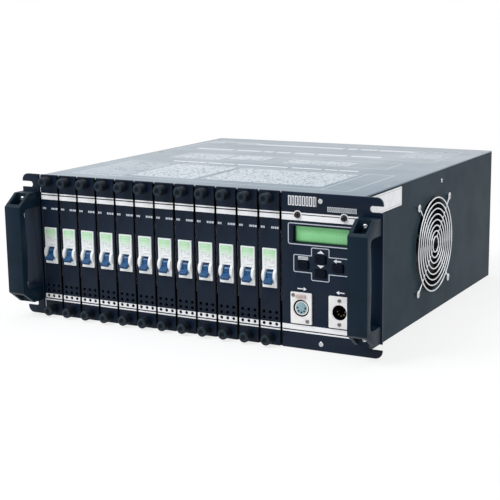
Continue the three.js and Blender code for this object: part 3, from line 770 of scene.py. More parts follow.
@dataclass(frozen=True)
class Mark:
    """A printed or moulded area of a surface.

    Attributes:
        mask: 1 where the area is.
    """

    mask: Number
    colour: Colour
    roughness: float = 0.5


Marks = Callable[[Number, Number, Number], list[Mark]]


@dataclass(frozen=True)
class Finish:
    """A procedural finish.

    Attributes:
        shade: the colour of its darker or worn patches.
        spread: how far its roughness strays.
        relief: the depth of its grain in millimetres.
        patch_edges: the noise where a patch starts and where it is full.
    """

    name: str
    colour: Colour
    shade: Colour
    roughness: float = 0.5
    spread: float = 0.08
    metallic: float = 0.0
    specular: float = 0.5
    patch: float = 40.0
    grain: float = 0.8
    relief: float = 0.02
    coat: float = 0.0
    glow: float = 0.0
    coat_roughness: float = 0.12
    relief_strength: float = 0.6
    patch_edges: Point = (0.35, 0.68)

    def build(self, marks: Marks | None = None) -> bpy.types.Material:
        """Builds the material.

        Args:
            marks: gives the printed areas, from the object's x, y and z in millimetres.

        Returns:
            The material.
        """
        tree = Tree(bpy.data.materials.new(self.name))
        patches = tree.noise(self.patch).ease(*self.patch_edges)
        fine = tree.noise(self.grain, 2.0)
        colour = tree.mix(patches, linear(self.colour), linear(self.shade))
        wear = (fine - 0.5) * (2.0 * self.spread) + (patches - 0.5) * self.spread
        roughness = self.roughness + wear
        for mark in marks(*tree.place()) if marks else []:
            colour = tree.mix(mark.mask, colour, linear(mark.colour))
            roughness = roughness + (mark.roughness - roughness) * mark.mask
        inputs: dict[int | str, object] = {
            "Base Color": colour,
            "Roughness": roughness,
            "Metallic": self.metallic,
            "Specular IOR Level": self.specular,
            "Coat Weight": self.coat,
            "Coat Roughness": self.coat_roughness,
        }
        if self.relief > 0.0:
            depth, strength = self.relief * MM, self.relief_strength
            bump = {"Height": fine, "Distance": depth, "Strength": strength}
            inputs["Normal"] = tree.node("ShaderNodeBump", {}, bump).outputs[0]
        if self.glow > 0.0:
            inputs["Emission Color"] = colour
            inputs["Emission Strength"] = self.glow
        surface = tree.node("ShaderNodeBsdfPrincipled", {}, inputs)
        tree.node("ShaderNodeOutputMaterial", {}, {"Surface": surface.outputs[0]})
        return tree.owner


FRONT_PAINT = Finish(
    "front_paint", (11, 30, 51), (9, 24, 42),
    roughness=0.42, spread=0.05, specular=0.2, patch=60.0, grain=0.7, relief=0.015,
)
CASE_PAINT = Finish(
    "case_paint", (28, 49, 60), (24, 44, 54),
    roughness=0.4, spread=0.06, specular=0.05, patch=70.0, grain=0.9,
)
# The case's paint made lighter for the lid: painted sheen, standing in for the bright studio
# reflected at a grazing angle. The lid is the same paint as the case.
LID_SHEEN_PAINT = Finish(
    "lid_paint", (113, 131, 145), (103, 122, 137),
    roughness=0.34, spread=0.05, specular=0.45, patch=80.0, grain=0.9, coat=0.25,
)
FRAME_STEEL = Finish(
    "frame_steel", (150, 156, 160), (126, 132, 138),
    roughness=0.42, spread=0.1, metallic=1.0, patch=25.0, grain=2.0, relief=0.01,
)
# Steel darkened as painted shade, for the card frame deep in the gaps between the module plates.
SHADED_RAIL_STEEL = Finish(
    "rail_steel", (52, 56, 61), (42, 46, 51),
    roughness=0.58, spread=0.1, metallic=1.0, patch=25.0, grain=2.0, relief=0.01,
)
BOARD = Finish(
    "board", (28, 84, 50), (22, 70, 42),
    spread=0.06, patch=15.0, grain=0.6, relief=0.01,
)
DISPLAY_GREEN = Finish(
    "display_green", (132, 206, 140), (138, 212, 148),
    roughness=0.28, spread=0.04, specular=0.3, patch=18.0, grain=0.5, relief=0.0, coat=0.2,
    glow=0.2,
)
BLACK_PLASTIC = Finish(
    "black_plastic", (6, 18, 32), (4, 13, 25),
    roughness=0.44, specular=0.08, patch=12.0, grain=0.35,
)
HANDLE_PLASTIC = Finish(
    "handle_plastic", (16, 36, 50), (13, 30, 42),
    roughness=0.42, spread=0.06, specular=0.12, patch=30.0, grain=0.5,
)
KNOB = Finish(
    "knob_black", (30, 47, 58), (23, 38, 48),
    roughness=0.4, spread=0.1, specular=0.2, patch=6.0, grain=0.3,
)
CONNECTOR = Finish(
    "connector_metal", (250, 248, 247), (241, 238, 238),
    roughness=0.36, metallic=0.06, patch=14.0, grain=0.4, relief=0.01,
)
NICKEL = Finish(
    "bright_nickel", (205, 208, 210), (188, 192, 196),
    roughness=0.22, spread=0.06, metallic=1.0, patch=6.0, grain=0.3, relief=0.0,
)
CORE_PLASTIC = Finish(
    "core_plastic", (150, 182, 190), (132, 166, 176),
    roughness=0.42, spread=0.05, patch=6.0, grain=0.3, relief=0.0,
)
LATCH_METAL = Finish(
    "latch_metal", (206, 190, 184), (190, 172, 168),
    roughness=0.34, spread=0.06, metallic=0.4, patch=5.0, grain=0.3, relief=0.0,
)
SCREW_STEEL = Finish(
    "screw_steel", (150, 146, 144), (128, 124, 124),
    roughness=0.3, metallic=1.0, patch=4.0, grain=0.3, relief=0.0,
)
CONTACT_METAL = Finish(
    "contact_metal", (112, 102, 84), (92, 84, 70),
    roughness=0.4, metallic=0.8, patch=4.0, grain=0.3, relief=0.0,
)
WIRE_CHROME = Finish(
    "guard_wire", (222, 225, 228), (206, 210, 214),
    roughness=0.14, spread=0.05, metallic=1.0, patch=12.0, grain=0.4, relief=0.0,
)
FAN_PLASTIC = Finish(
    "fan_plastic", (16, 18, 20), (12, 14, 16),
    spread=0.07, specular=0.4, patch=14.0, grain=0.5,
)
GLAND_PLASTIC = Finish(
    "gland_plastic", (34, 37, 40), (28, 31, 34),
    spread=0.07, patch=10.0, grain=0.5, relief=0.03,
)
BREAKER_WHITE = Finish(
    "breaker_plastic", (249, 251, 251), (244, 247, 248),
    roughness=0.36, spread=0.05, patch=10.0, grain=0.4, relief=0.01,
)
LEVER_BLUE = Finish(
    "lever_plastic", (6, 84, 138), (5, 66, 112),
    roughness=0.32, spread=0.06, patch=5.0, grain=0.3, relief=0.01,
)
STICKER = Finish(
    "blank_label", (242, 243, 244), (234, 236, 238),
    roughness=0.55, spread=0.06, specular=0.4, patch=12.0, grain=0.5, relief=0.0,
)
LAMP_RED = Finish(
    "lamp_red", (46, 4, 8), (34, 3, 6),
    roughness=0.24, spread=0.04, specular=0.2, patch=2.0, grain=0.3, relief=0.0, coat=0.2,
)
LAMP_GREEN = Finish(
    "lamp_green", (4, 14, 14), (3, 10, 10),
    roughness=0.24, spread=0.04, specular=0.2, patch=2.0, grain=0.3, relief=0.0, coat=0.2,
)

PRINT_WHITE: Colour = (250, 251, 253)
SHADOW_BLACK: Colour = (5, 7, 11)
FACE_DEPTH = 0.5  # print stays on what lies this close to the panel's face


def on_face(y: Number) -> Number:
    """Gives 1 on what looks forward at the panel line."""
    return y < PANEL_Y + FACE_DEPTH


def either(masks: Iterable[Number]) -> Number:
    """Joins masks into one."""
    return reduce(or_, masks)


def radius_of(a: Number, b: Number) -> Number:
    """Gives the distance from where both numbers are 0."""
    return (a.squared() + b.squared()).root()


def bars(x: Number, z: Number, strokes: Sequence[Stroke]) -> Number:
    """Joins rectangular strokes, each given by its left, right, bottom and top, into one mask."""
    return either(x.between(a, b) & z.between(c, d) for a, b, c, d in strokes)


@dataclass(frozen=True)
class Frame:
    """A rectangle with round corners that a line is printed along, in millimetres."""

    low: Point
    high: Point
    radius: float

    def distance(self, a: Number, b: Number) -> Number:
        """Gives the distance to the rectangle, less than 0 inside it.

        Args:
            a: the place along its first side.
            b: the place along its second side.

        Returns:
            The distance.
        """
        past = []
        for place, low, high in zip((a, b), self.low, self.high):
            past.append(abs(place - (low + high) / 2.0) - ((high - low) / 2.0 - self.radius))
        across, upward = past
        return radius_of(across | 0.0, upward | 0.0) + ((across | upward) & 0.0) - self.radius

    def line(self, a: Number, b: Number, half: float) -> Number:
        """Gives the mask of a line along the rectangle, from half its width."""
        return abs(self.distance(a, b)) < half


@dataclass(frozen=True)
class Arrow:
    """A printed triangle that points one way, in millimetres."""

    way: Way
    middle: float
    low: float
    high: float
    half: float

    def mask(self, x: Number, z: Number) -> Number:
        """Gives the arrow's mask.

        Args:
            x: the place across.
            z: the height.

        Returns:
            The mask.
        """
        across, along = (x, z) if self.way in (Way.UP, Way.DOWN) else (z, x)
        to_tip = self.high - along if self.way in (Way.UP, Way.RIGHT) else along - self.low
        slope = self.half / (self.high - self.low)
        return along.between(self.low, self.high) & (abs(across - self.middle) < to_tip * slope)


@dataclass(frozen=True)
class Cells:
    """A row of plain hollow cells, in millimetres.

    Attributes:
        share: a cell's share of the pitch.
    """

    low: Point
    high: Point
    pitch: float
    stroke: float
    share: float = 0.76

    def mask(self, x: Number, z: Number) -> Number:
        """Gives the row's mask.

        Args:
            x: the place across.
            z: the height.

        Returns:
            The mask.
        """
        (left, bottom), (right, top) = self.low, self.high
        cell = ((x - left) / self.pitch).fract() * self.pitch
        width = self.pitch * self.share
        solid = (cell < width) & x.between(left, right) & z.between(bottom, top)
        inside = z.between(bottom + self.stroke, top - self.stroke)
        hollow = cell.between(self.stroke, width - self.stroke) & inside
        return solid & (1.0 - hollow)


@dataclass(frozen=True)
class PrintBlock:
    """A block of short printed bars, in millimetres.

    Attributes:
        word: the size of the gaps along a row.
        fill: the bars' share of a row's pitch.
        shift: how far the noise of one row lies from the next one's.
        cut: the noise that a bar needs.
    """

    low: Point
    high: Point
    row: float
    word: float
    fill: float
    strength: float
    shift: float = 7.3
    cut: float = 0.42

    def mask(self, x: Number, y: Number) -> Number:
        """Gives the block's mask.

        Args:
            x: the place across.
            y: the place along the case.

        Returns:
            The mask.
        """
        area = x.between(self.low[0], self.high[0]) & y.between(self.low[1], self.high[1])
        rows = (y - self.low[1]) / self.row
        places = {0: x / self.word, 1: rows.floor() * self.shift, 2: self.low[0]}
        where = x.tree.node("ShaderNodeCombineXYZ", {}, places).outputs[0]
        inputs = {"Vector": where, "Scale": 1.0, "Detail": 1.0, "Roughness": 0.4}
        breaks = x.tree.number("ShaderNodeTexNoise", {}, inputs) > self.cut
        return (area & (rows.fract() < self.fill) & breaks) * self.strength


# Near left corner, far right corner, row pitch, gap size, fill and strength.
LID_BLOCKS = (
    PrintBlock((-188.0, -182.0), (-116.0, -58.0), 6.0, 9.0, 0.5, 0.4),
    PrintBlock((-113.0, -170.0), (-24.0, -58.0), 3.4, 4.0, 0.72, 0.65),
    PrintBlock((-15.0, -164.0), (144.0, -60.0), 3.4, 4.0, 0.72, 0.65),
    PrintBlock((-136.0, -36.0), (132.0, -31.0), 5.2, 11.0, 0.96, 0.95),
    PrintBlock((-158.0, 2.0), (-86.0, 50.0), 4.0, 5.0, 0.72, 0.55),
    PrintBlock((-80.0, 12.0), (-26.0, 52.0), 4.0, 5.0, 0.72, 0.55),
    PrintBlock((6.0, 6.0), (100.0, 42.0), 4.0, 5.0, 0.72, 0.55),
    PrintBlock((-182.0, 96.0), (106.0, 108.0), 12.5, 16.0, 0.94, 0.6),
    PrintBlock((-200.0, 168.0), (-122.0, 192.0), 12.5, 30.0, 0.9, 0.3),
    PrintBlock((-121.0, 168.0), (124.0, 182.0), 14.5, 16.0, 0.94, 0.6),
    PrintBlock((122.0, 116.0), (180.0, 192.0), 11.0, 7.0, 0.5, 0.35),
)
LID_FRAMES = (
    Frame((-190.0, -184.0), (152.0, -50.0), 0.5),
    Frame((152.0, -184.0), (186.0, -50.0), 0.5),
    Frame((-162.0, -2.0), (155.0, 54.0), 0.5),
    Frame((-204.0, 86.0), (185.0, 202.0), 0.5),
)


@dataclass(frozen=True)
class Screw:
    """A small cross-recess screw that looks along -Y, in millimetres.

    Attributes:
        flat: whether its head is countersunk.
        slot: the recess's length and width, as shares of the radius.
        floor: the height of the recess's floor, as a share of the head's.
    """

    radius: float
    proud: float
    flat: bool = False
    sides: int = 24
    slot: Point = (0.58, 0.14)
    floor: float = 0.35

    def profile(self) -> list[Point]:
        """Lists the head's profile.

        Returns:
            Pairs of radius and place along Y, the seat at 0.
        """
        r, p = self.radius, self.proud
        if self.flat:
            return [(0.0, -p), (r - 0.15, -p), (r, -p + 0.12), (r, 0.6), (0.0, 0.6)]
        dome = [(0.0, 1.0), (0.4, 0.97), (0.72, 0.8), (0.92, 0.5), (1.0, 0.12)]
        return [(share * r, -height * p) for share, height in dome] + [(r, 0.3), (0.0, 0.3)]

    def mesh(self) -> bpy.types.Mesh:
        """Makes the head with its recess.

        Returns:
            The mesh, in millimetres, its seat at y = 0.
        """
        head = Draft()
        head.lathe(self.profile(), Axis.Y, (0.0, 0.0), self.sides)
        long, short = (share * self.radius for share in self.slot)
        bottom = 0.1 - self.proud * self.floor
        cutters = []
        for across, upward in ((long, short), (short, long)):
            cutter = Draft()
            cutter.box((-across, -self.proud - 1.0, -upward), (across, bottom, upward))
            cutters.append(cutter)
        return carved(head, cutters, 0.0)


FIRST_TURN, NEXT_TURN = 23.0, 37.0  # the turns of the screws' recesses, in degrees


def screw_set(kind: Screw, look: Look, places: Sequence[Place]) -> Draft:
    """Gathers equal screws into one draft.

    Args:
        kind: the screw.
        look: the way that its head looks.
        places: where its seats are.

    Returns:
        The draft.
    """
    draft = Draft()
    for i, place in enumerate(places):
        mesh = kind.mesh()
        turn = Matrix.Rotation(math.radians(FIRST_TURN + NEXT_TURN * i), 4, "Y")
        mesh.transform(Matrix.Translation(Vector(place)) @ look.turn() @ turn)
        draft.add(mesh)
    return draft


def put(
    mesh: bpy.types.Mesh,
    name: str,
    body: str,
    slot: Slot,
    materials: Sequence[bpy.types.Material],
    stands_for: Sequence[str] = (),
    at: Place = (0.0, 0.0, 0.0),
) -> None:
    """Places a mesh as a piece of the pack.

    Args:
        mesh: the mesh, which several pieces may share.
        name: the piece's name.
        body: the body that it rides on.
        slot: the record's material slot; not used.
        materials: its materials, in the order of their indices.
        stands_for: the CAD nodes that it replaces.
        at: where its own origin stands, in millimetres.
    """
    if not mesh.materials:
        for material in materials:
            mesh.materials.append(material)
    piece = bpy.data.objects.new(name, mesh)
    bpy.context.scene.collection.objects.link(piece)
    piece.location = Vector(at) * MM
    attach(piece, body)
    if stands_for:
        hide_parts(*stands_for)
    LOG.info("%s: %d faces", name, len(mesh.polygons))


def dress(node: bpy.types.Object, material: bpy.types.Material, edge: float) -> None:
    """Gives a CAD node its material and rounds its edges with modifiers.

    Args:
        node: the CAD node.
        material: the material.
        edge: the rounding's width in millimetres, or 0 for none.
    """
    node.data.materials.clear()
    node.data.materials.append(material)
    if edge > 0.0:
        weld = node.modifiers.new("weld", "WELD")
        weld.merge_threshold = 1e-6
        bevel = node.modifiers.new("edges", "BEVEL")
        bevel.width = edge * MM
        bevel.segments = 2
        bevel.limit_method = "ANGLE"
        bevel.angle_limit = math.radians(40.0)
        bevel.harden_normals = True


@dataclass
class Case:
    """Tray, lid, rear panel, card frame and boards, with their screws and sticker, in millimetres.

    Attributes:
        lid_screw_rows: where the lid's screws stand along the case.
        lamp_depth: the control board's lamps and posts are dark this far behind the panel's face.
    """

    nodes: dict[str, bpy.types.Object]
    lid_thickness: float = 1.5
    lid_roll: float = 0.45
    lid_screw: Screw = Screw(3.0, 0.35, True)
    lid_screw_across: float = 209.5
    lid_screw_rows: tuple[float, ...] = (-130.0, 52.0, 216.0)
    side_screw: Screw = Screw(2.6, 1.2)
    side_screw_at: Point = (31.0, 161.2)
    sticker: Frame = Frame((-193.0, 150.6), (-102.0, 172.6), 1.5)
    sticker_sunk: float = 0.1
    sticker_proud: float = 0.25
    sticker_edge: float = 0.05
    sticker_rule: Frame = Frame((-190.6, 152.6), (-104.2, 170.6), 1.2)
    rule_half: float = 0.3
    lid_rule_half: float = 0.7
    print_depth: float = 0.4
    lamp_depth: float = 11.0

    def board_marks(self, x: Number, y: Number, z: Number) -> list[Mark]:
        """Gives the control board's lamps and posts their dark colour."""
        return [Mark(y < PANEL_Y + self.lamp_depth, (8, 12, 16), 0.4)]

    def sticker_marks(self, x: Number, y: Number, z: Number) -> list[Mark]:
        """Gives the blank sticker's thin ruled border."""
        return [Mark(self.sticker_rule.line(y, z, self.rule_half), (190, 194, 198), 0.55)]

    def lid_marks(self, x: Number, y: Number, z: Number) -> list[Mark]:
        """Gives the lid's printed blocks and the ruled frames round them.

        Args:
            x: the place across.
            y: the place along the case.
            z: the height.

        Returns:
            The print.
        """
        top = z > LID_TOP - self.print_depth
        blocks = either(block.mask(x, y) for block in LID_BLOCKS)
        ruled = either(frame.line(x, y, self.lid_rule_half) for frame in LID_FRAMES)
        return [Mark((blocks | ruled * 0.5) * top, (232, 237, 242), 0.45)]

    def build(self) -> None:
        """Dresses the case's nodes and adds its small pieces."""
        paint = CASE_PAINT.build()
        dress(self.nodes["chassis_tray"], paint, 0.3)
        dress(self.nodes["rear_panel"], paint, 0.25)
        # The card frame's steel is darkened: painted shade for the gaps between modules.
        dress(self.nodes["card_frame"], SHADED_RAIL_STEEL.build(), 0.3)
        dress(self.nodes["backplane"], BOARD.build(), 0.2)
        dress(self.nodes["control_board"], BOARD.build(self.board_marks), 0.0)
        self.lid()
        self.fasteners()
        self.label()

    def lid(self) -> None:
        """Adds the lid with its rolled edges and print."""
        low = (-CASE_HALF, PANEL_BACK, LID_TOP - self.lid_thickness)
        draft = Draft()
        draft.box(low, (CASE_HALF, CASE_REAR, LID_TOP), self.lid_roll, 3)
        # The lid's finish is the case paint lightened with painted sheen.
        paint = LID_SHEEN_PAINT.build(self.lid_marks)
        put(draft.mesh("lid"), "top_cover_skin", CHASSIS, Slot.CASE_PAINT, [paint], ["top_cover"])

    def fasteners(self) -> None:
        """Adds the lid's and the side's screws."""
        nickel = NICKEL.build()
        rows = self.lid_screw_rows
        places = [(side * self.lid_screw_across, y, LID_TOP) for side in SIDES for y in rows]
        lid = screw_set(self.lid_screw, Look.TOP, places)
        put(lid.mesh("lid_screws"), "lid_screws", CHASSIS, Slot.CONNECTOR_METAL, [nickel])
        side = screw_set(self.side_screw, Look.RIGHT, [(CASE_HALF, *self.side_screw_at)])
        put(side.mesh("side_screw"), "side_screw", CHASSIS, Slot.CONNECTOR_METAL, [nickel])

    def label(self) -> None:
        """Adds the blank sticker."""
        outline = rounded(self.sticker.low, self.sticker.high, self.sticker.radius)
        start, end = CASE_HALF - self.sticker_sunk, CASE_HALF + self.sticker_proud
        draft = Draft()
        draft.plate(outline, [], Axis.X, start, end, self.sticker_edge)
        paper = STICKER.build(self.sticker_marks)
        put(draft.mesh("label"), "blank_label", CHASSIS, Slot.CASE_PAINT, [paper])


@dataclass(frozen=True)
class Bay:
    """Where the control bay's pieces stand on the panel, in millimetres."""

    middle: float = 168.3
    display: float = 130.1
    lamp_spread: float = 28.0
    lamp_height: float = 151.8
    socket_spread: float = 23.3
    socket_height: float = 47.0

    def key(self, key: Key) -> Point:
        """Returns a push button's middle."""
        return (self.middle + key.value[0], panel_z(key.value[1]))

    def lamp(self, side: int) -> Point:
        """Returns the middle of the left lamp for -1 and of the right one for 1."""
        return (self.middle + side * self.lamp_spread, panel_z(self.lamp_height))

    def socket(self, side: int) -> Point:
        """Returns the middle of the output for -1 and of the input for 1."""
        return (self.middle + side * self.socket_spread, panel_z(self.socket_height))


@dataclass
class PanelLine:
    """Left ear and control panel with their print and screws, in millimetres.

    Attributes:
        slot_depth: how far inside the ear the slot's round end has its middle.
        bands: the low and high ends of the printed bands and lines.
        key_rules: the two rectangles that make the cross round the keys.
        strokes: left, right, bottom and top of each printed bar.
    """

    bay: Bay = Bay()
    left_edge: float = 215.9
    control_edge: float = 120.5
    corner: float = 8.0
    slot_half: float = 3.5
    slot_depth: float = 12.2
    slot_rows: Point = (13.0, 164.0)
    edge: float = 0.5
    window_sides: Point = (134.3, 202.3)
    window_half: float = 9.5
    key_hole: Point = (6.8, 4.3)
    lamp_hole: float = 3.5
    socket_hole: float = 11.9
    bands: tuple[Point, ...] = ((19.0, 20.7), (22.0, 27.6), (145.9, 152.1), (153.1, 154.8))
    band_end: float = 213.0
    display_rule: Frame = Frame((128.8, 119.3), (208.3, 142.6), 2.0)
    key_rules: tuple[Frame, Frame] = (
        Frame((135.4, 88.3), (201.2, 107.5), 1.6),
        Frame((157.2, 80.1), (178.4, 116.6), 1.6),
    )
    rule_half: Point = (0.55, 0.5)
    strokes: tuple[Stroke, ...] = (
        (140.6, 153.0, 105.2, 106.0), (140.6, 153.0, 103.8, 104.6),
        (140.6, 153.0, 102.4, 103.2), (187.0, 192.8, 103.2, 104.8), (139.8, 147.6, 68.6, 69.8),
        (190.2, 197.0, 68.6, 69.8),
    )
    arrows: tuple[Arrow, ...] = (
        Arrow(Way.UP, 168.3, 110.9, 114.3, 4.4),
        Arrow(Way.DOWN, 168.3, 94.5, 97.8, 4.4),
        Arrow(Way.LEFT, 104.0, 183.6, 187.4, 2.4),
        Arrow(Way.RIGHT, 69.2, 147.4, 151.0, 2.2),
        Arrow(Way.LEFT, 69.2, 186.8, 190.4, 2.2),
    )
    title: Cells = Cells((128.8, 162.4), (163.4, 173.2), 4.3, 0.95)
    small_title: Cells = Cells((176.4, 157.9), (211.2, 163.4), 2.6, 0.6)
    ring_radius: float = 5.1
    screw: Screw = Screw(2.75, 0.3, True)
    screw_places: tuple[Point, ...] = ((168.0, 168.9), (168.6, 8.3))

    def marks(self, x: Number, y: Number, z: Number) -> list[Mark]:
        """Gives the control panel's printed bands, frames and symbols.

        Args:
            x: the place across.
            y: the place along the pack.
            z: the height.

        Returns:
            The print.
        """
        face = on_face(y)
        lines = either(z.between(*band) for band in self.bands) & (x < self.band_end)
        around_display = self.display_rule.line(x, z, self.rule_half[0])
        arms, middle = (frame.distance(x, z) for frame in self.key_rules)
        cross = abs(arms & middle) < self.rule_half[1]
        symbols = bars(x, z, self.strokes) | either(arrow.mask(x, z) for arrow in self.arrows)
        lamps = [self.bay.lamp(side) for side in SIDES]
        rings = either(radius_of(x - a, z - b) < self.ring_radius for a, b in lamps)
        return [
            Mark((lines | rings) & face, PRINT_WHITE),
            Mark((around_display | cross) & face, (196, 203, 214)),
            Mark((symbols | self.title.mask(x, z)) & face, (244, 246, 250)),
            Mark(self.small_title.mask(x, z) & face, (220, 226, 233)),
        ]

    def ear_outline(self, inner: float, side: int) -> list[Point]:
        """Lists the outline of a plate that ends in a rack ear.

        Args:
            inner: the distance of its straight edge from the middle.
            side: 1 for the right ear, -1 for the left one.

        Returns:
            The corners.
        """
        low, high = panel_z(0.0), panel_z(PANEL_HEIGHT)
        bend = PANEL_HALF - self.corner
        corners: list[Point] = [(inner, low)]
        corners += arc((bend, low + self.corner), self.corner, -90.0, 0.0, 8)
        for row in self.slot_rows:
            z = panel_z(row)
            corners.append((PANEL_HALF, z - self.slot_half))
            corners += arc((PANEL_HALF - self.slot_depth, z), self.slot_half, -90.0, -270.0, 12)
            corners.append((PANEL_HALF, z + self.slot_half))
        corners += arc((bend, high - self.corner), self.corner, 0.0, 90.0, 8)
        corners.append((inner, high))
        return [(side * x, z) for x, z in corners][::side]

    def holes(self) -> list[list[Point]]:
        """Lists the outlines of the control panel's holes.

        Returns:
            The corners of each hole.
        """
        left, right = self.window_sides
        wide, tall = self.key_hole
        z = panel_z(self.bay.display)
        outlines = [rounded((left, z - self.window_half), (right, z + self.window_half), 0.6)]
        for x, middle in map(self.bay.key, Key):
            outlines.append(rounded((x - wide, middle - tall), (x + wide, middle + tall), 0.7))
        for side in SIDES:
            outlines.append(ring(self.bay.lamp(side), self.lamp_hole, 24))
            outlines.append(ring(self.bay.socket(side), self.socket_hole, 32))
        return outlines

    def plate(self, inner: float, side: int, holes: Sequence[Sequence[Point]]) -> Draft:
        """Drafts a plate that ends in a rack ear.

        Args:
            inner: the distance of its straight edge from the middle.
            side: 1 for the right ear, -1 for the left one.
            holes: the corners of each hole.

        Returns:
            The draft.
        """
        draft = Draft()
        draft.plate(self.ear_outline(inner, side), holes, Axis.Y, PANEL_Y, PANEL_BACK, self.edge)
        return draft

    def build(self) -> None:
        """Adds both plates, the panel's screws and the handles."""
        plain = FRONT_PAINT.build()
        ear = self.plate(self.left_edge, -1, []).mesh("left_ear")
        put(ear, "left_ear_plate", CHASSIS, Slot.FRONT_PAINT, [plain], ["left_ear"])
        panel = self.plate(self.control_edge, 1, self.holes()).mesh("control_panel")
        paint = FRONT_PAINT.build(self.marks)
        put(panel, "control_panel_plate", CHASSIS, Slot.FRONT_PAINT, [paint], ["control_panel"])
        nickel = NICKEL.build()
        places = [(x, PANEL_Y, z) for x, z in self.screw_places]
        screws = screw_set(self.screw, Look.FRONT, places).mesh("panel_screws")
        put(screws, "panel_screws", CHASSIS, Slot.CONNECTOR_METAL, [nickel])
        Handle().build(nickel)


@dataclass
class Handle:
    """A moulded handle with a screw in a pocket of each arm, in millimetres.

    Places count from its middle: forward from the panel's face, and up.

    Attributes:
        slope_start: how far before the panel the outer slopes start.
        pocket_rows: where a pocket starts, and an end beyond the handle's.
        pocket_seat: how far before the panel a pocket's floor lies.
    """

    across: float = 228.5
    height: float = 87.0
    half_width: float = 11.5
    half_length: float = 68.5
    gap_half: float = 50.0
    gap_reach: float = 29.5
    gap_bend: float = 6.0
    swell: float = 2.5
    swell_steps: int = 16
    slope_start: float = 18.0
    reach: float = 38.0
    front_half: float = 53.5
    edge: float = 1.5
    pocket_half: float = 7.5
    pocket_rows: Point = (54.0, 80.0)
    pocket_seat: float = 17.4
    pocket_end: float = 34.0
    screw: Screw = Screw(3.4, 1.8)
    screw_row: float = 61.0

    def profile(self) -> list[Point]:
        """Lists the side profile.

        Returns:
            Pairs of place along Y, 0 at the panel's face, and height.
        """
        bend, gap, back = self.gap_bend, self.gap_half, -self.gap_reach
        corners: list[Point] = [(0.0, -self.half_length), (0.0, -gap)]
        corners += arc((back + bend, bend - gap), bend, -90.0, -180.0, 6)
        for share in (i / self.swell_steps for i in range(1, self.swell_steps)):
            rise = (gap - bend) * (2.0 * share - 1.0)
            corners.append((back + self.swell * math.sin(share * math.pi), rise))
        corners += arc((back + bend, gap - bend), bend, 180.0, 90.0, 6)
        outer = [(0.0, self.half_length), (self.slope_start, self.half_length)]
        outer.append((self.reach, self.front_half))
        corners.append((0.0, gap))
        corners += [(-out, z) for out, z in outer]
        corners += [(-out, -z) for out, z in outer[:0:-1]]
        return corners

    def mesh(self) -> bpy.types.Mesh:
        """Makes the handle about its own middle height.

        Returns:
            The mesh.
        """
        grip = Draft()
        outline = [(PANEL_Y + y, z) for y, z in self.profile()]
        grip.prism(outline, Axis.X, -self.half_width, self.half_width)
        cutters = []
        for side in SIDES:
            near, far = sorted(side * row for row in self.pocket_rows)
            low = (-self.pocket_half, PANEL_Y - self.pocket_end, near)
            cutter = Draft()
            cutter.box(low, (self.pocket_half, PANEL_Y - self.pocket_seat, far), 1.2, 3)
            cutters.append(cutter)
        shape = Draft()
        shape.add(carved(grip, cutters, self.edge, 4))
        return shape.mesh("handle")

    def build(self, nickel: bpy.types.Material) -> None:
        """Adds both handles with the screws in their pockets.

        Args:
            nickel: the screws' material.
        """
        plastic = HANDLE_PLASTIC.build()
        mesh = self.mesh()
        places = [(0.0, PANEL_Y - self.pocket_seat, side * self.screw_row) for side in SIDES]
        screws = screw_set(self.screw, Look.FRONT, places).mesh("handle_screws")
        for name, side in (("left_handle", -1), ("right_handle", 1)):
            at = (side * self.across, 0.0, panel_z(self.height))
            put(mesh, f"{name}_moulding", CHASSIS, Slot.HANDLE_PLASTIC, [plastic], [name], at)
            put(screws, f"{name}_screws", CHASSIS, Slot.CONNECTOR_METAL, [nickel], (), at)


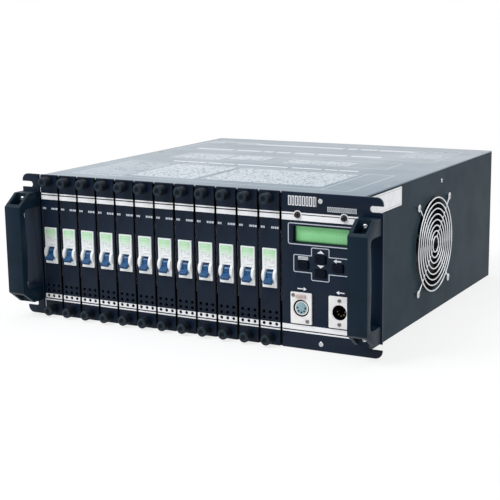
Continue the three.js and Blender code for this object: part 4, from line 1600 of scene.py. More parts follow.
@dataclass
class Module:
    """A dimmer module without its breaker, about its own middle, in millimetres.

    Attributes:
        inner_sides: the left and right side of what stands behind the plate.
        rear: where the carrier and fins end along the pack.
        sheet_start: how far behind the plate's face the carrier sheet starts.
        rail_depths: how far behind it the breaker rail starts and ends.
        knob_shade_reach: behind this distance before the panel, the knob has painted shade on its
            knurled side.
        gap_shade_edge: the plate is painted black past this distance from the middle, as painted
            shade for the dark gaps between modules.
    """

    half_width: float = 12.5
    window_half: Point = (9.2, 22.8)
    vent_radius: float = 1.85
    vent_pitch: Point = (8.0, 6.7)
    vent_row: float = 24.9
    edge: float = 0.5
    inner_sides: Point = (-11.4, 9.5)
    rear: float = -18.0
    sheet: float = 1.5
    sheet_start: float = 1.5
    sheet_rows: Point = (18.8, 158.8)
    rail_depths: Point = (58.3, 66.3)
    rail_rows: Point = (71.8, 106.8)
    fin_start: float = -138.0
    fin_row: float = 88.8
    fin_pitch: float = 24.0
    fin_half: float = 1.0
    knob_rows: Point = (8.3, 169.3)
    shank: tuple[Point, ...] = ((2.0, -1.5), (2.0, -10.6), (1.6, -11.0))
    knob: tuple[Point, ...] = (
        (0.0, 12.5), (2.2, 12.5), (2.9, 13.6), (3.5, 14.0), (5.1, 14.0), (5.9, 13.3),
        (6.2, 12.6), (6.2, 2.6), (5.9, 2.1), (5.0, 1.9), (5.0, -0.1),
    )
    knurl: Grooves = Grooves(2, 1, 0.3, 6.0)
    knob_middle: float = 80.5
    knob_shade_reach: float = 13.2
    knob_recess_shade: Point = (1.2, 3.0)
    bands: tuple[Point, ...] = ((18.9, 20.5), (21.9, 27.4), (146.6, 151.6), (152.9, 154.5))
    dash_rows: Point = (134.4, 136.8)
    dashes: tuple[Point, ...] = (
        (-10.7, -9.1), (-8.6, -7.4), (-6.9, -5.9), (2.4, 4.2), (4.8, 6.2), (6.9, 8.6),
        (9.3, 11.6),
    )
    gap_shade_edge: float = 12.1

    def plate_marks(self, x: Number, y: Number, z: Number) -> list[Mark]:
        """Gives the plate's printed bands and generic marks, and painted shade on its edges by the
        gaps between modules.

        Args:
            x: the place across.
            y: the place along the pack.
            z: the height.

        Returns:
            The print.
        """
        face = on_face(y)
        lines = either(z.between(*band) for band in self.bands)
        dashes = bars(x, z, [(*dash, *self.dash_rows) for dash in self.dashes])
        return [
            # Painted shade: the plate's edges are black because the gaps between modules fall dark.
            Mark(abs(x) > self.gap_shade_edge, SHADOW_BLACK, 0.6),
            Mark(lines & face, PRINT_WHITE),
            Mark(dashes & face, (206, 213, 222)),
        ]

    def knob_marks(self, x: Number, y: Number, z: Number) -> list[Mark]:
        """Gives a thumb screw's painted shade, on its knurled side and in the recess of its face.

        Args:
            x: the place across.
            y: the place along the pack.
            z: the height.

        Returns:
            The painted shade.
        """
        upward = abs(z - panel_z(PANEL_HEIGHT) / 2.0) - self.knob_middle
        return [
            # Painted shade: the knob's side and a ring in the dimple of its face are darkened. They
            # are the same plastic as the face.
            Mark(y > PANEL_Y - self.knob_shade_reach, (8, 17, 27), 0.62),
            Mark(radius_of(x, upward).between(*self.knob_recess_shade), (18, 27, 36), 0.5),
        ]

    def plate_mesh(self) -> bpy.types.Mesh:
        """Makes the front plate, carrier, fins, breaker rail and shanks.

        Returns:
            The mesh.
        """
        draft = Draft()
        top = panel_z(PANEL_HEIGHT)
        outline = rounded((-self.half_width, LIFT), (self.half_width, top), 0.6, 2)
        wide, tall = self.window_half
        low, high = (-wide, BREAKER_CENTRE - tall), (wide, BREAKER_CENTRE + tall)
        across, up = self.vent_pitch
        vents = [
            ring((across * i, self.vent_row + up * row), self.vent_radius, 16)
            for i in (-1, 0, 1)
            for row in range(3)
        ]
        holes = [rounded(low, high, 0.4, 2), *vents]
        draft.plate(outline, holes, Axis.Y, PANEL_Y, PANEL_BACK, self.edge)
        self.inside(draft)
        for z in self.knob_rows:
            draft.lathe(before_panel(self.shank), Axis.Y, (0.0, z), 16, material=2)
        return draft.mesh("module")

    def inside(self, draft: Draft) -> None:
        """Adds the carrier sheet, breaker rail and fins.

        Args:
            draft: where they go.
        """
        left, right = self.inner_sides
        low, high = self.sheet_rows
        end = (left + self.sheet, self.rear, high)
        draft.box((left, PANEL_Y + self.sheet_start, low), end, 0.2, material=1)
        near, far = (PANEL_Y + depth for depth in self.rail_depths)
        low, high = self.rail_rows
        draft.box((left, near, low), (right, far, high), 0.4, material=1)
        for i in range(-2, 3):
            z = self.fin_row + self.fin_pitch * i
            start = (left, self.fin_start, z - self.fin_half)
            draft.box(start, (right, self.rear, z + self.fin_half), 0.3, material=1)

    def knob_mesh(self) -> bpy.types.Mesh:
        """Makes the two knurled thumb screws.

        Returns:
            The mesh.
        """
        draft = Draft()
        for z in self.knob_rows:
            draft.lathe(before_panel(self.knob), Axis.Y, (0.0, z), 56, grooves=self.knurl)
        return draft.mesh("knob", sharp=50.0)


@dataclass
class Breaker:
    """A breaker's case, and its lever about the lever's pivot, in millimetres.

    Attributes:
        pivot: the lever pivot's place along the pack and its height.
        shoulder: how far behind the panel's face the body gets taller.
        rest_turn: how far the lever points down when off, in degrees.
        print_depth: the least distance before the panel of what is printed on.
    """

    pivot: Point = (-212.5, 80.3)
    half_width: float = 8.9
    proud: float = 1.0
    nose_half: float = 22.5
    shoulder: float = 14.0
    body_half: float = 40.5
    depth: float = 58.0
    hump_radius: float = 9.5
    hump_turn: float = 46.83
    slot_half: Point = (5.3, 7.6)
    slot_reach: float = 14.0
    pocket_radius: float = 6.7
    edge: float = 0.35
    barrel: tuple[Point, ...] = (
        (0.0, -5.0), (6.1, -5.0), (6.4, -4.7), (6.4, 4.7), (6.1, 5.0), (0.0, 5.0),
    )
    arm: Point = (5.0, 1.8)
    arm_reach: Point = (1.0, 12.7)
    grip: Point = (5.3, 2.2)
    grip_reach: Point = (10.9, 14.5)
    rib: Point = (4.2, 0.25)
    rib_reach: Point = (13.9, 14.7)
    rib_rows: tuple[float, ...] = (-1.1, 0.0, 1.1)
    rest_turn: float = 32.0
    face_half: float = 8.5
    print_depth: float = 0.6
    band_half: float = 7.7
    band_fade: Point = (94.0, 109.0)
    band_top: float = 110.4
    pale_sides: Point = (-5.2, 3.0)
    pale_rows: tuple[Point, ...] = ((107.6, 109.0), (103.8, 105.0))
    text_sides: Point = (-7.0, 7.2)
    text_rows: Point = (89.5, 101.0)
    text_pitch: float = 2.1
    text_fill: float = 0.6
    text_grain: float = 1.2
    text_cut: float = 0.52
    strengths: Point = (0.8, 0.5)

    def marks(self, x: Number, y: Number, z: Number) -> list[Mark]:
        """Gives the green band, which fades downward, and small generic print.

        Args:
            x: the place across.
            y: the place along the pack.
            z: the height.

        Returns:
            The print.
        """
        face = (y < PANEL_Y - self.print_depth) & (abs(x) < self.face_half)
        band = z.ease(*self.band_fade) * (z < self.band_top) * (abs(x) < self.band_half) * face
        pale = x.between(*self.pale_sides) & either(z.between(*rows) for rows in self.pale_rows)
        lines = (z / self.text_pitch).fract() < self.text_fill
        area = x.between(*self.text_sides) & z.between(*self.text_rows)
        text = area & lines & (x.tree.noise(self.text_grain, 0.0) > self.text_cut)
        strong, faint = self.strengths
        return [
            Mark(band * strong, (156, 220, 156)),
            Mark(pale * face * faint, (222, 240, 222)),
            Mark(text * face * faint, (150, 142, 158)),
        ]

    def case_mesh(self) -> bpy.types.Mesh:
        """Makes the case with its hump, its lever slot and the taller body behind.

        Returns:
            The mesh.
        """
        low, high = BREAKER_CENTRE - self.nose_half, BREAKER_CENTRE + self.nose_half
        bottom, top = BREAKER_CENTRE - self.body_half, BREAKER_CENTRE + self.body_half
        face, shoulder = PANEL_Y - self.proud, PANEL_Y + self.shoulder
        back = PANEL_Y + self.depth
        turn = self.hump_turn
        profile = [
            (face, low),
            *arc(self.pivot, self.hump_radius, 180.0 + turn, 180.0 - turn, 12),
            (face, high),
            (shoulder, high),
            (shoulder, top),
            (back, top),
            (back, bottom),
            (shoulder, bottom),
            (shoulder, low),
        ]
        body = Draft()
        body.prism(profile, Axis.X, -self.half_width, self.half_width)
        (y, z), (wide, tall) = self.pivot, self.slot_half
        pocket = Draft()
        pocket.prism(ring(self.pivot, self.pocket_radius, 32), Axis.X, -wide, wide)
        slot = Draft()
        slot.box((-wide, y - self.slot_reach, z - tall), (wide, y, z + tall))
        shape = Draft()
        shape.add(carved(body, [pocket, slot], self.edge))
        return shape.mesh("breaker")

    def lever_mesh(self) -> bpy.types.Mesh:
        """Makes the lever about its pivot, as it stands when off.

        Returns:
            The mesh.
        """
        draft = Draft()
        draft.lathe(self.barrel, Axis.X, (0.0, 0.0), 40)
        turned = Draft()
        self.bar(turned, self.arm, self.arm_reach, 0.0, 0.3, 2)
        self.bar(turned, self.grip, self.grip_reach, 0.0, 0.7, 3)
        for row in self.rib_rows:
            self.bar(turned, self.rib, self.rib_reach, row, 0.1, 1)
        mesh = turned.mesh("grip", 1.0)
        mesh.transform(Matrix.Rotation(math.radians(self.rest_turn), 4, "X"))
        draft.add(mesh)
        return draft.mesh("lever")

    def bar(
        self, draft: Draft, half: Point, reach: Point, middle: float, edge: float, steps: int
    ) -> None:
        """Adds a bar that stands out from the lever's pivot.

        Args:
            draft: where it goes.
            half: half its width and height.
            reach: how far from the pivot it starts and ends.
            middle: its middle height.
            edge: the rounding of its edges.
            steps: the facets of the rounding.
        """
        (wide, tall), (start, end) = half, reach
        draft.box((-wide, -end, middle - tall), (wide, -start, middle + tall), edge, steps)


@dataclass
class ModuleRow:
    """The twelve dimmer modules, each with its breaker and lever, in millimetres."""

    count: int = 12
    first: float = -200.6
    pitch: float = 27.8
    module: Module = field(default_factory=Module)
    breaker: Breaker = field(default_factory=Breaker)

    def build(self) -> None:
        """Adds every module with what it carries."""
        paint = FRONT_PAINT.build(self.module.plate_marks)
        plate_looks = [paint, FRAME_STEEL.build(), NICKEL.build()]
        knob_look = [KNOB.build(self.module.knob_marks)]
        white = [BREAKER_WHITE.build(self.breaker.marks)]
        blue = [LEVER_BLUE.build()]
        plate, knobs = self.module.plate_mesh(), self.module.knob_mesh()
        case, lever = self.breaker.case_mesh(), self.breaker.lever_mesh()
        for index in range(self.count):
            tag = f"{index + 1:02d}"
            body = f"module_{tag}"
            x = self.first + index * self.pitch
            at, pivot = (x, 0.0, 0.0), (x, *self.breaker.pivot)
            stands_for = [f"dimmer_module_{tag}"]
            name = f"module_plate_{tag}"
            put(plate, name, body, Slot.FRONT_PAINT, plate_looks, stands_for, at)
            put(knobs, f"thumb_screws_{tag}", body, Slot.BLACK_PLASTIC, knob_look, (), at)
            name = f"breaker_case_{tag}"
            put(case, name, body, Slot.BREAKER_PLASTIC, white, [f"breaker_{tag}"], at)
            name, stands_for = f"lever_{tag}_moulding", [f"breaker_lever_{tag}"]
            put(lever, name, f"lever_{tag}", Slot.LEVER_PLASTIC, blue, stands_for, pivot)


@dataclass
class Connector:
    """A round signal connector's plate, barrel and contacts, in millimetres.

    Attributes:
        backing_radius: the radius of what holds the core.
    """

    middle: Point
    bore: float
    plate_half: Point = (13.0, 18.0)
    plate_corner: float = 1.2
    plate_proud: float = 2.0
    barrel_radius: float = 11.6
    barrel_start: float = 1.0
    depth: float = 22.0
    floor: float = 15.0
    contact_radius: float = 4.8
    core_radius: float = 6.7
    core_hole: float = 1.2
    core_reach: Point = (1.4, -2.0)
    collar: Point = (8.0, 6.65)
    collar_reach: float = 1.0
    backing_radius: float = 7.7
    backing_reach: Point = (-1.9, -15.2)
    pin: tuple[Point, ...] = ((1.2, -15.5), (1.2, -3.6), (0.8, -3.1), (0.0, -3.0))

    def contacts(self) -> list[Point]:
        """Lists where the five contacts stand."""
        return arc(self.middle, self.contact_radius, -180.0, 0.0, 4)

    def shell(self) -> Draft:
        """Drafts the plate and the barrel with its floor.

        Returns:
            The draft, its plate with material 0 and its barrel with material 1.
        """
        draft = Draft()
        (x, z), (wide, tall) = self.middle, self.plate_half
        outline = rounded((x - wide, z - tall), (x + wide, z + tall), self.plate_corner)
        hole, front = ring(self.middle, self.bore, 40), PANEL_Y - self.plate_proud
        draft.plate(outline, [hole], Axis.Y, front, PANEL_Y, 0.4)
        bore, outer = self.bore, self.barrel_radius
        start, end = self.barrel_start, -self.depth
        barrel = before_panel([(bore, start), (outer, start), (outer, end), (bore, end)])
        draft.lathe(barrel, Axis.Y, self.middle, 40, closed=True, material=1)
        near, far = -self.floor, 0.1 - self.depth
        floor = before_panel([(0.0, near), (bore, near), (bore, far), (0.0, far)])
        draft.lathe(floor, Axis.Y, self.middle, 40, material=1)
        return draft

    def socket(self) -> bpy.types.Mesh:
        """Makes a socket with a core that has a hole for each contact.

        Returns:
            The mesh, its core with material 2.
        """
        draft = self.shell()
        front, back = (PANEL_Y - reach for reach in self.core_reach)
        holes = [ring(place, self.core_hole, 16) for place in self.contacts()]
        core = ring(self.middle, self.core_radius, 40)
        draft.plate(core, holes, Axis.Y, front, back, 0.4, material=2)
        outer, inner = (ring(self.middle, radius, 40) for radius in self.collar)
        draft.plate(outer, [inner], Axis.Y, PANEL_Y - self.collar_reach, back, 0.3)
        backing = before_panel([(self.backing_radius, reach) for reach in self.backing_reach])
        draft.lathe(backing, Axis.Y, self.middle, 40, material=1)
        return draft.mesh("socket")

    def plug(self) -> bpy.types.Mesh:
        """Makes a plug with a pin for each contact.

        Returns:
            The mesh, its pins with material 2.
        """
        draft = self.shell()
        for place in self.contacts():
            draft.lathe(before_panel(self.pin), Axis.Y, place, 14, material=2)
        return draft.mesh("plug")


@dataclass
class ControlBay:
    """Display, keys, lamps and signal connectors, in millimetres.

    Attributes:
        glass_depths: where the display's block starts and ends along the pack.
        display_shade_rim: the rectangle that the display's painted shade surrounds, standing in for
            the shadow of the window's recess on its edges.
        shade_rim_fade: the distances to it where the painted shade starts to show and where it is
            full.
        lamp_foot: how far before the panel the dome's foot lies.
    """

    bay: Bay = Bay()
    glass_sides: Point = (134.0, 202.6)
    glass_half: float = 9.8
    glass_depths: Point = (-212.5, -205.4)
    frame_sides: Point = (128.3, 208.3)
    frame_half: float = 17.7
    frame_depths: Point = (-211.5, -205.3)
    window_sides: Point = (134.2, 202.4)
    window_half: float = 9.6
    display_shade_rim: Frame = Frame((134.6, 120.6), (202.0, 140.2), 1.0)
    shade_rim_fade: Point = (-2.6, -0.2)
    cell_sides: Point = (139.4, 199.6)
    cell_pitch: float = 3.7
    cell_share: float = 0.82
    cell_strength: float = 0.25
    cell_rows: tuple[Point, ...] = ((124.0, 129.6), (131.2, 136.8))
    cap_half: Point = (6.5, 4.0)
    cap_corner: float = 2.2
    cap_reach: Point = (2.2, -3.8)
    cap_edge: float = 1.1
    foot_half: Point = (7.5, 5.0)
    foot_reach: Point = (-3.3, -4.3)
    stem: tuple[Point, ...] = ((1.8, -3.4), (1.8, -11.7))
    lamp_radius: float = 3.3
    lamp_rise: float = 2.9
    lamp_foot: float = 0.2
    lamp_tail: float = 6.0
    output_bore: float = 9.8
    input_bore: float = 8.6
    latch_half: float = 6.0
    latch_reach: Point = (4.0, 1.3)
    latch_rows: Point = (11.4, 15.4)
    screw: Screw = Screw(2.4, 0.8)
    output_screws: tuple[Point, ...] = ((7.8, -14.3), (-9.6, 14.6))
    input_screws: tuple[Point, ...] = ((0.0, 13.4), (0.0, -13.4))

    def display_marks(self, x: Number, y: Number, z: Number) -> list[Mark]:
        """Gives the painted shade that the window's recess casts on the display's edges, and its
        faint character cells.

        Args:
            x: the place across.
            y: the place along the pack; not used.
            z: the height.

        Returns:
            The painted shade and the cells.
        """
        display_shade_rim = self.display_shade_rim.distance(x, z).ease(*self.shade_rim_fade)
        left, right = self.cell_sides
        columns = ((x - left) / self.cell_pitch).fract() < self.cell_share
        rows = either(z.between(*row) for row in self.cell_rows)
        cells = columns & rows & x.between(left, right)
        cells = cells * self.cell_strength
        # Painted shade: the display's edges are darker where the recess shadows them.
        return [Mark(cells, (120, 190, 128), 0.3), Mark(display_shade_rim, (34, 56, 50), 0.4)]

    def build(self) -> None:
        """Adds the control bay's pieces."""
        self.display()
        self.keys()
        self.lamps()
        self.connectors()

    def display(self) -> None:
        """Adds the display with its frame."""
        z = panel_z(self.bay.display)
        draft = Draft()
        (left, right), (front, back) = self.glass_sides, self.glass_depths
        draft.box((left, front, z - self.glass_half), (right, back, z + self.glass_half), 0.2)
        left, right = self.frame_sides
        frame = rounded((left, z - self.frame_half), (right, z + self.frame_half), 1.0)
        left, right = self.window_sides
        window = rounded((left, z - self.window_half), (right, z + self.window_half), 0.5)
        draft.plate(frame, [window], Axis.Y, *self.frame_depths, 0.3, material=1)
        looks = [DISPLAY_GREEN.build(self.display_marks), BLACK_PLASTIC.build()]
        mesh = draft.mesh("display")
        put(mesh, "display_module", CHASSIS, Slot.DISPLAY_GREEN, looks, ["display"])

    def keys(self) -> None:
        """Adds the four push buttons."""
        draft = Draft()
        wide, tall = self.cap_half
        start, end = (PANEL_Y - reach for reach in self.cap_reach)
        cap = rounded((-wide, -tall), (wide, tall), self.cap_corner, 6)
        draft.prism(cap, Axis.Y, start, end, self.cap_edge, 4)
        wide, tall = self.foot_half
        start, end = (PANEL_Y - reach for reach in self.foot_reach)
        draft.box((-wide, start, -tall), (wide, end, tall), 0.2)
        draft.lathe(before_panel(self.stem), Axis.Y, (0.0, 0.0), 16)
        mesh = draft.mesh("key")
        look = [BLACK_PLASTIC.build()]
        for key in Key:
            name = key.name.lower()
            x, z = self.bay.key(key)
            stands_for = [f"{name}_button"]
            body = f"{name}_key"
            put(mesh, f"{name}_cap", body, Slot.BLACK_PLASTIC, look, stands_for, (x, 0.0, z))

    def lamps(self) -> None:
        """Adds the domes of both indicator lamps over the lamps of the control board."""
        foot, rise = self.lamp_foot, self.lamp_rise
        quarter = arc((0.0, 0.0), 1.0, 0.0, 75.0, 5)
        dome = [(self.lamp_radius * out, foot + rise * up) for out, up in quarter]
        profile = [(self.lamp_radius, -self.lamp_tail), *dome, (0.0, foot + rise)]
        for name, side, finish in (("power_lamp", -1, LAMP_RED), ("signal_lamp", 1, LAMP_GREEN)):
            draft = Draft()
            draft.lathe(before_panel(profile), Axis.Y, self.bay.lamp(side), 28)
            put(draft.mesh(name), name, CHASSIS, Slot.BLACK_PLASTIC, [finish.build()])

    def connectors(self) -> None:
        """Adds the output socket with its latch and the input plug, with their screws."""
        metal, dark, core = CONNECTOR.build(), BLACK_PLASTIC.build(), CORE_PLASTIC.build()
        contact = CONTACT_METAL.build()
        slot = Slot.CONNECTOR_METAL
        output = Connector(self.bay.socket(-1), self.output_bore)
        mesh = output.socket()
        put(mesh, "signal_output", CHASSIS, slot, [metal, dark, core], ["output_socket"])
        x, z = output.middle
        start, end = (PANEL_Y - reach for reach in self.latch_reach)
        low, high = (z + row for row in self.latch_rows)
        latch = Draft()
        latch.box((x - self.latch_half, start, low), (x + self.latch_half, end, high), 0.5, 3)
        look = [LATCH_METAL.build()]
        put(latch.mesh("latch"), "output_latch", "latch", slot, look, ["socket_latch"])
        entry = Connector(self.bay.socket(1), self.input_bore)
        mesh = entry.plug()
        put(mesh, "signal_input", CHASSIS, slot, [metal, dark, contact], ["input_plug"])
        y = PANEL_Y - output.plate_proud
        places = [(x + across, y, z + up) for across, up in self.output_screws]
        x, z = entry.middle
        places += [(x + across, y, z + up) for across, up in self.input_screws]
        screws = screw_set(self.screw, Look.FRONT, places).mesh("connector_screws")
        put(screws, "connector_screws", CHASSIS, slot, [SCREW_STEEL.build()])


@dataclass
class SideFan:
    """Fan frame, rotor and wire guard on the right side, in millimetres.

    Attributes:
        blade_pitch: a blade's angle at its root, and what it loses to its tip, in degrees.
        blade_swing: half a blade's width at its root, and what it gains to its tip.
        blade_stretch: the factor on that width.
        blade_rise: half a blade's depth where its angle is a right one.
        blade_root: the least radius that a blade's angles are worked out for.
    """

    middle: Point = (3.0, 86.0)
    sides: Point = (189.2, 214.2)
    half: float = 60.0
    corner: float = 5.0
    bore: float = 57.5
    hole_spread: float = 52.5
    hole: float = 2.2
    seat: tuple[Point, ...] = ((20.0, 189.2), (20.0, 192.2))
    strut_middle: float = 190.7
    strut_reach: Point = (18.0, 58.5)
    strut_radius: float = 1.5
    hub: tuple[Point, ...] = (
        (0.0, 211.5), (17.5, 211.5), (19.4, 210.9), (20.0, 209.6), (20.0, 192.5), (0.0, 192.5),
    )
    blades: int = 7
    blade_reach: Point = (17.0, 54.3)
    blade_steps: int = 6
    blade_place: float = 202.0
    blade_pitch: Point = (40.0, 10.0)
    blade_swing: Point = (9.0, 2.6)
    blade_stretch: float = 1.05
    blade_rise: float = 11.0
    blade_camber: float = 1.6
    blade_root: float = 24.0
    blade_thickness: float = 1.4
    guard_wires: Point = (218.1, 219.6)
    guard_rings: int = 8
    guard_radius: float = 58.0
    guard_pitch: float = 6.9
    wire_radius: float = 1.0
    spoke_reach: Point = (9.0, 71.0)
    lug_reach: float = 74.2
    lug: tuple[Point, ...] = (
        (2.2, 216.0), (4.6, 216.0), (4.6, 218.3), (4.2, 218.6), (2.2, 218.6),
    )
    screw: Screw = Screw(3.2, 1.5)
    screw_seat: float = 218.3

    def build(self) -> None:
        """Adds the fan's pieces."""
        plastic = FAN_PLASTIC.build()
        self.frame(plastic)
        self.rotor(plastic)
        self.guard()

    def diagonals(self) -> list[Vector]:
        """Lists the four directions from the fan's middle to its corners."""
        return [Vector((0.0, y, z)) for y, z in arc((0.0, 0.0), 1.0, 45.0, 315.0, 3)]

    def spokes(self, draft: Draft, place: float, reach: Point, radius: float, sides: int) -> None:
        """Adds four straight wires that stand out from the fan's middle.

        Args:
            draft: where they go.
            place: their place across the pack.
            reach: how far from the middle they start and end.
            radius: their radius.
            sides: the facets round them.
        """
        start = Vector((place, *self.middle))
        for way in self.diagonals():
            draft.wire([start + out * way for out in reach], radius, sides)

    def frame(self, plastic: bpy.types.Material) -> None:
        """Adds the square frame with its struts and motor seat.

        Args:
            plastic: the fan's material.
        """
        y, z = self.middle
        half, spread = self.half, self.hole_spread
        draft = Draft()
        outline = rounded((y - half, z - half), (y + half, z + half), self.corner)
        holes = [ring(self.middle, self.bore, 72)]
        for a in SIDES:
            holes += [ring((y + a * spread, z + b * spread), self.hole, 16) for b in SIDES]
        draft.plate(outline, holes, Axis.X, *self.sides, 0.6)
        draft.lathe(self.seat, Axis.X, self.middle, 40)
        self.spokes(draft, self.strut_middle, self.strut_reach, self.strut_radius, 8)
        mesh = draft.mesh("fan_frame")
        put(mesh, "fan_housing", CHASSIS, Slot.FAN_PLASTIC, [plastic], ["fan_frame"])

    def blade_point(self, turn: float, out: float, share: float) -> Place:
        """Works out a point of a blade.

        Args:
            turn: the blade's angle round the hub, in radians.
            out: the share of the way from its root to its tip.
            share: the share of the way from its leading to its trailing edge.

        Returns:
            The point.
        """
        root, tip = self.blade_reach
        reach = root + (tip - root) * out
        chord = 2.0 * share - 1.0
        pitch = math.radians(self.blade_pitch[0] - self.blade_pitch[1] * out)
        width = self.blade_swing[0] + self.blade_swing[1] * out
        swing = chord * width * math.cos(pitch) * self.blade_stretch
        bulge = self.blade_camber * (1.0 - chord * chord)
        depth = chord * self.blade_rise * math.sin(pitch) + bulge
        angle = turn + swing / max(reach, self.blade_root)
        y = self.middle[0] - reach * math.sin(angle)
        z = self.middle[1] + reach * math.cos(angle)
        return (self.blade_place + depth, y, z)

    def rotor(self, plastic: bpy.types.Material) -> None:
        """Adds the hub and its curved blades.

        Args:
            plastic: the fan's material.
        """
        draft = Draft()
        draft.lathe(self.hub, Axis.X, self.middle, 48)
        shares = [i / self.blade_steps for i in range(self.blade_steps + 1)]
        for blade in range(self.blades):
            turn = 2.0 * math.pi * blade / self.blades
            part = bmesh.new()
            rows = [
                [part.verts.new(self.blade_point(turn, out, share)) for share in shares]
                for out in shares
            ]
            for first, second in zip(rows, rows[1:]):
                for k in range(self.blade_steps):
                    part.faces.new((first[k], first[k + 1], second[k + 1], second[k]))
            bmesh.ops.recalc_face_normals(part, faces=part.faces)
            bmesh.ops.solidify(part, geom=part.faces[:], thickness=self.blade_thickness)
            draft.absorb(part)
        mesh = draft.mesh("rotor", sharp=55.0)
        put(mesh, "fan_blades", "fan", Slot.FAN_PLASTIC, [plastic], ["fan_rotor"])

    def guard(self) -> None:
        """Adds the rings, spokes and lugs of the wire guard, and its screws."""
        draft = Draft()
        spoke_x, ring_x = self.guard_wires
        for i in range(self.guard_rings):
            radius = self.guard_radius - self.guard_pitch * i
            circle = ring((radius, ring_x), self.wire_radius, 10)
            draft.lathe(circle, Axis.X, self.middle, 72, closed=True)
        self.spokes(draft, spoke_x, self.spoke_reach, self.wire_radius, 12)
        places = []
        for way in self.diagonals():
            _, y, z = Vector((spoke_x, *self.middle)) + self.lug_reach * way
            draft.lathe(self.lug, Axis.X, (y, z), 28, closed=True)
            places.append((self.screw_seat, y, z))
        mesh = draft.mesh("guard", sharp=40.0)
        put(mesh, "wire_guard", CHASSIS, Slot.GUARD_WIRE, [WIRE_CHROME.build()], ["fan_guard"])
        screws = screw_set(self.screw, Look.RIGHT, places).mesh("guard_screws")
        put(screws, "guard_screws", CHASSIS, Slot.CONNECTOR_METAL, [NICKEL.build()])


@dataclass
class Rear:
    """Cable gland and multipin outlets of the rear panel, in millimetres.

    Attributes:
        outlets_middle: the middle between both outlets, across.
        pin_first: how far left of the outlet's middle the first pin stands.
    """

    gland_at: Point = (-150.0, 60.0)
    gland: tuple[Point, ...] = (
        (7.0, -10.5), (11.0, -10.5), (11.0, 0.0), (13.5, 0.0), (13.5, 15.0), (12.9, 18.0),
        (11.4, 22.0), (10.0, 24.0), (7.6, 24.0), (7.0, 23.2),
    )
    gland_grooves: Grooves = Grooves(4, 0, 0.5, 12.0)
    nut_radius: float = 16.0
    nut_hole: float = 12.0
    nut_reach: float = 8.0
    outlets_middle: float = 60.0
    outlet_spread: float = 55.0
    outlet_height: float = 95.0
    flange_half: Point = (46.0, 22.0)
    flange_reach: float = 3.0
    shroud_half: Point = (39.0, 17.5)
    shroud_wall: float = 3.5
    shroud_reach: Point = (1.5, 24.0)
    insert_half: Point = (35.6, 13.9)
    insert_reach: Point = (-14.0, 5.0)
    pin_count: int = 8
    pin_first: float = 28.0
    pin_pitch: float = 8.0
    pin_row: float = 6.0
    pin: tuple[Point, ...] = ((1.8, 4.9), (1.8, 17.0), (1.2, 17.8), (0.0, 18.0))
    screw: Screw = Screw(2.4, 1.0)
    screw_spread: Point = (42.5, 18.5)

    def build(self) -> None:
        """Adds the rear's pieces."""
        plastic = GLAND_PLASTIC.build()
        self.cable_gland(plastic)
        dark, nickel = BLACK_PLASTIC.build(), NICKEL.build()
        for name, side in (("a", -1), ("b", 1)):
            x, z = self.outlets_middle + side * self.outlet_spread, self.outlet_height
            looks = [plastic, dark, nickel]
            stands_for = [f"outlet_connector_{name}"]
            mesh = self.outlet(x, z).mesh(f"outlet_{name}")
            put(mesh, f"outlet_{name}", CHASSIS, Slot.GLAND_PLASTIC, looks, stands_for)
            across, up = self.screw_spread
            y = CASE_REAR + self.flange_reach
            places = [(x + a * across, y, z + b * up) for a in SIDES for b in SIDES]
            name = f"outlet_{name}_screws"
            screws = screw_set(self.screw, Look.BACK, places).mesh(name)
            put(screws, name, CHASSIS, Slot.CONNECTOR_METAL, [nickel])

    def cable_gland(self, plastic: bpy.types.Material) -> None:
        """Adds the cable gland with its nut.

        Args:
            plastic: its material.
        """
        draft = Draft()
        profile = [(radius, CASE_REAR + out) for radius, out in self.gland]
        at = self.gland_at
        draft.lathe(profile, Axis.Y, at, 48, closed=True, grooves=self.gland_grooves)
        nut, hole = ring(at, self.nut_radius, 6), ring(at, self.nut_hole, 32)
        draft.plate(nut, [hole], Axis.Y, CASE_REAR, CASE_REAR + self.nut_reach, 0.8)
        mesh = draft.mesh("gland")
        put(mesh, "cable_gland", CHASSIS, Slot.GLAND_PLASTIC, [plastic], ["supply_gland"])

    def outlet(self, x: float, z: float) -> Draft:
        """Drafts a multipin outlet.

        Args:
            x: its middle across.
            z: its middle height.

        Returns:
            The draft, its insert with material 1 and its pins with material 2.
        """
        draft = Draft()
        wide, tall = self.flange_half
        flange = rounded((x - wide, z - tall), (x + wide, z + tall), 3.0)
        draft.plate(flange, [], Axis.Y, CASE_REAR, CASE_REAR + self.flange_reach, 0.6)
        wide, tall = self.shroud_half
        outer = rounded((x - wide, z - tall), (x + wide, z + tall), 3.0)
        wide, tall = wide - self.shroud_wall, tall - self.shroud_wall
        inner = rounded((x - wide, z - tall), (x + wide, z + tall), 2.0)
        start, end = (CASE_REAR + reach for reach in self.shroud_reach)
        draft.plate(outer, [inner], Axis.Y, start, end, 0.6)
        wide, tall = self.insert_half
        start, end = (CASE_REAR + reach for reach in self.insert_reach)
        draft.box((x - wide, start, z - tall), (x + wide, end, z + tall), 0.3, material=1)
        profile = [(radius, CASE_REAR + out) for radius, out in self.pin]
        for i in range(self.pin_count):
            across = x - self.pin_first + self.pin_pitch * i
            for side in SIDES:
                place = (across, z + self.pin_row * side)
                draft.lathe(profile, Axis.Y, place, 14, material=2)
        return draft


@dataclass(frozen=True)
class SoftBox:
    """A rectangular studio lamp."""

    name: str
    place: Place
    aim: Place
    size: Point
    power: float
    colour: Colour = (247, 251, 255)

    def build(self) -> None:
        """Adds the lamp."""
        data = bpy.data.lights.new(self.name, "AREA")
        data.shape = "RECTANGLE"
        data.size, data.size_y = self.size
        data.energy = self.power
        data.color = linear(self.colour)[:3]
        lamp = bpy.data.objects.new(self.name, data)
        bpy.context.scene.collection.objects.link(lamp)
        lamp.location = self.place
        way = Vector(self.aim) - Vector(self.place)
        lamp.rotation_euler = way.to_track_quat("-Z", "Y").to_euler()


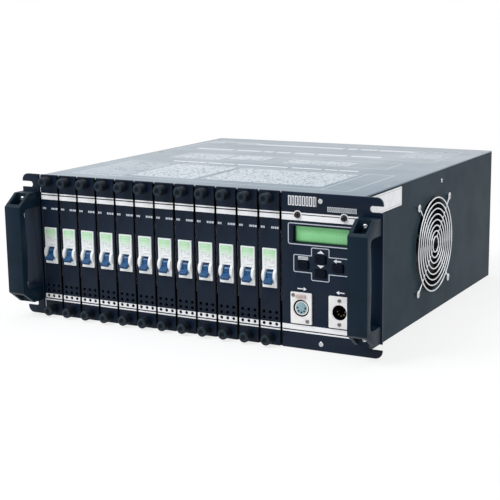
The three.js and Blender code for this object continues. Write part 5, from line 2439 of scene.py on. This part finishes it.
@dataclass
class Studio:
    """World, floor, lamps, dark screen and camera.

    Attributes:
        lamp_strength: the world's strength as a lamp, where 1 is white.
        focal: the camera's focal length in widths of the picture.
    """

    lamps: tuple[SoftBox, ...] = (
        SoftBox("key", (-1.2, -1.6, 2.2), (0.0, 0.0, 0.1), (1.6, 1.2), 49.0),
        SoftBox("side", (2.4, -0.2, 1.3), (0.2, 0.0, 0.1), (1.2, 1.6), 6.0),
        SoftBox("top", (0.0, 0.6, 2.6), (0.0, 0.0, 0.0), (2.2, 2.2), 22.0),
    )
    lamp_strength: float = 0.55
    floor_radius: float = 12000.0
    floor_depth: float = 20.0
    white_start: float = 380.0
    white_end: float = 900.0
    white_share: float = 0.78
    screen_low: Place = (-2600.0, -3400.0, 5.0)
    screen_high: Place = (2600.0, -3380.0, 2600.0)
    yaw: float = 28.864
    pitch: float = 11.529
    roll: float = -0.784
    camera_at: Place = (0.7257, -1.3890, 0.3803)
    focal: float = 1210.46 / 500.0
    sensor: float = 36.0
    far: float = 60.0

    def build(self) -> None:
        """Adds the studio."""
        self.world()
        self.floor()
        self.screen()
        for lamp in self.lamps:
            lamp.build()
        self.camera()

    def world(self) -> None:
        """Makes the world white to the camera, metal and glass, and a soft grey as a lamp."""
        world = bpy.data.worlds.new("studio")
        bpy.context.scene.world = world
        tree = Tree(world)
        rays = tree.node("ShaderNodeLightPath").outputs
        kinds = ("Is Camera Ray", "Is Glossy Ray", "Is Transmission Ray")
        seen = either(Number(tree, rays[kind]) for kind in kinds)
        inputs = {"Value": seen, "To Min": self.lamp_strength, "To Max": 1.0}
        strength = tree.number("ShaderNodeMapRange", {}, inputs)
        inputs = {"Color": (1.0, 1.0, 1.0, 1.0), "Strength": strength}
        background = tree.node("ShaderNodeBackground", {}, inputs)
        tree.node("ShaderNodeOutputWorld", {}, {"Surface": background.outputs[0]})

    def stand(
        self, draft: Draft, name: str, tree: Tree, surface: bpy.types.Node, seen: bool = True
    ) -> None:
        """Adds a part of the studio.

        Args:
            draft: its shape.
            name: its name.
            tree: its material's nodes.
            surface: the shader node of its surface.
            seen: whether the camera sees it.
        """
        tree.node("ShaderNodeOutputMaterial", {}, {"Surface": surface.outputs[0]})
        mesh = draft.mesh(name)
        mesh.materials.append(tree.owner)
        part = bpy.data.objects.new(name, mesh)
        bpy.context.scene.collection.objects.link(part)
        part.visible_camera = seen
        part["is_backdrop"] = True

    def floor(self) -> None:
        """Adds the floor, pale round the pack and white further out."""
        draft = Draft()
        draft.prism(ring((0.0, 0.0), self.floor_radius, 64), Axis.Z, -self.floor_depth, 0.0)
        tree = Tree(bpy.data.materials.new("floor"))
        x, y, _ = tree.place()
        colour = tree.mix(tree.noise(300.0), linear((252, 252, 253)), linear((250, 250, 251)))
        near = tree.node("ShaderNodeBsdfDiffuse", {}, {"Color": colour})
        far = tree.node("ShaderNodeEmission", {}, {"Color": (1.0, 1.0, 1.0, 1.0), "Strength": 1.0})
        reach = radius_of(x, y).ease(self.white_start, self.white_end)
        share = reach * (1.0 - self.white_share) + self.white_share
        inputs = {0: share, 1: near.outputs[0], 2: far.outputs[0]}
        self.stand(draft, "floor", tree, tree.node("ShaderNodeMixShader", {}, inputs))

    def screen(self) -> None:
        """Adds a dark screen behind the camera, which the front's gloss reflects."""
        draft = Draft()
        draft.box(self.screen_low, self.screen_high)
        tree = Tree(bpy.data.materials.new("dark_screen"))
        colour = tree.mix(tree.noise(200.0), linear((30, 32, 36)), linear((24, 26, 30)))
        cloth = tree.node("ShaderNodeBsdfDiffuse", {}, {"Color": colour})
        self.stand(draft, "dark_screen", tree, cloth, seen=False)

    def camera(self) -> None:
        """Adds the camera at the photograph's angle."""
        yaw, pitch, roll = (math.radians(a) for a in (self.yaw, self.pitch, self.roll))
        level = math.cos(pitch)
        ahead = Vector((-math.sin(yaw) * level, math.cos(yaw) * level, -math.sin(pitch)))
        right = ahead.cross(Vector((0.0, 0.0, 1.0))).normalized()
        up = right.cross(ahead)
        across = math.cos(roll) * right + math.sin(roll) * up
        upward = math.cos(roll) * up - math.sin(roll) * right
        data = bpy.data.cameras.new("photo")
        data.sensor_width = self.sensor
        data.sensor_fit = "HORIZONTAL"
        data.lens = self.focal * self.sensor
        data.clip_end = self.far
        camera = bpy.data.objects.new("photo", data)
        bpy.context.scene.collection.objects.link(camera)
        turn = Matrix((across, upward, -ahead)).transposed()
        camera.matrix_world = Matrix.Translation(self.camera_at) @ turn.to_4x4()
        bpy.context.scene.camera = camera


def corners(box: Sequence[Vector]) -> list[list[float]]:
    """Turns a box's corners into plain lists."""
    return [[float(c) for c in corner] for corner in box]


def main() -> None:
    """Builds the scene."""
    logging.basicConfig(level=logging.INFO, format="%(name)s %(message)s")
    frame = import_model()
    cad_box = corners(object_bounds())
    bpy.context.scene.view_settings.view_transform = "Standard"
    Studio().build()
    Case(frame["nodes"]).build()
    PanelLine().build()
    ModuleRow().build()
    ControlBay().build()
    SideFan().build()
    Rear().build()
    {"cad": cad_box, "visual": corners(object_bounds())}


if __name__ == "__main__":
    main()
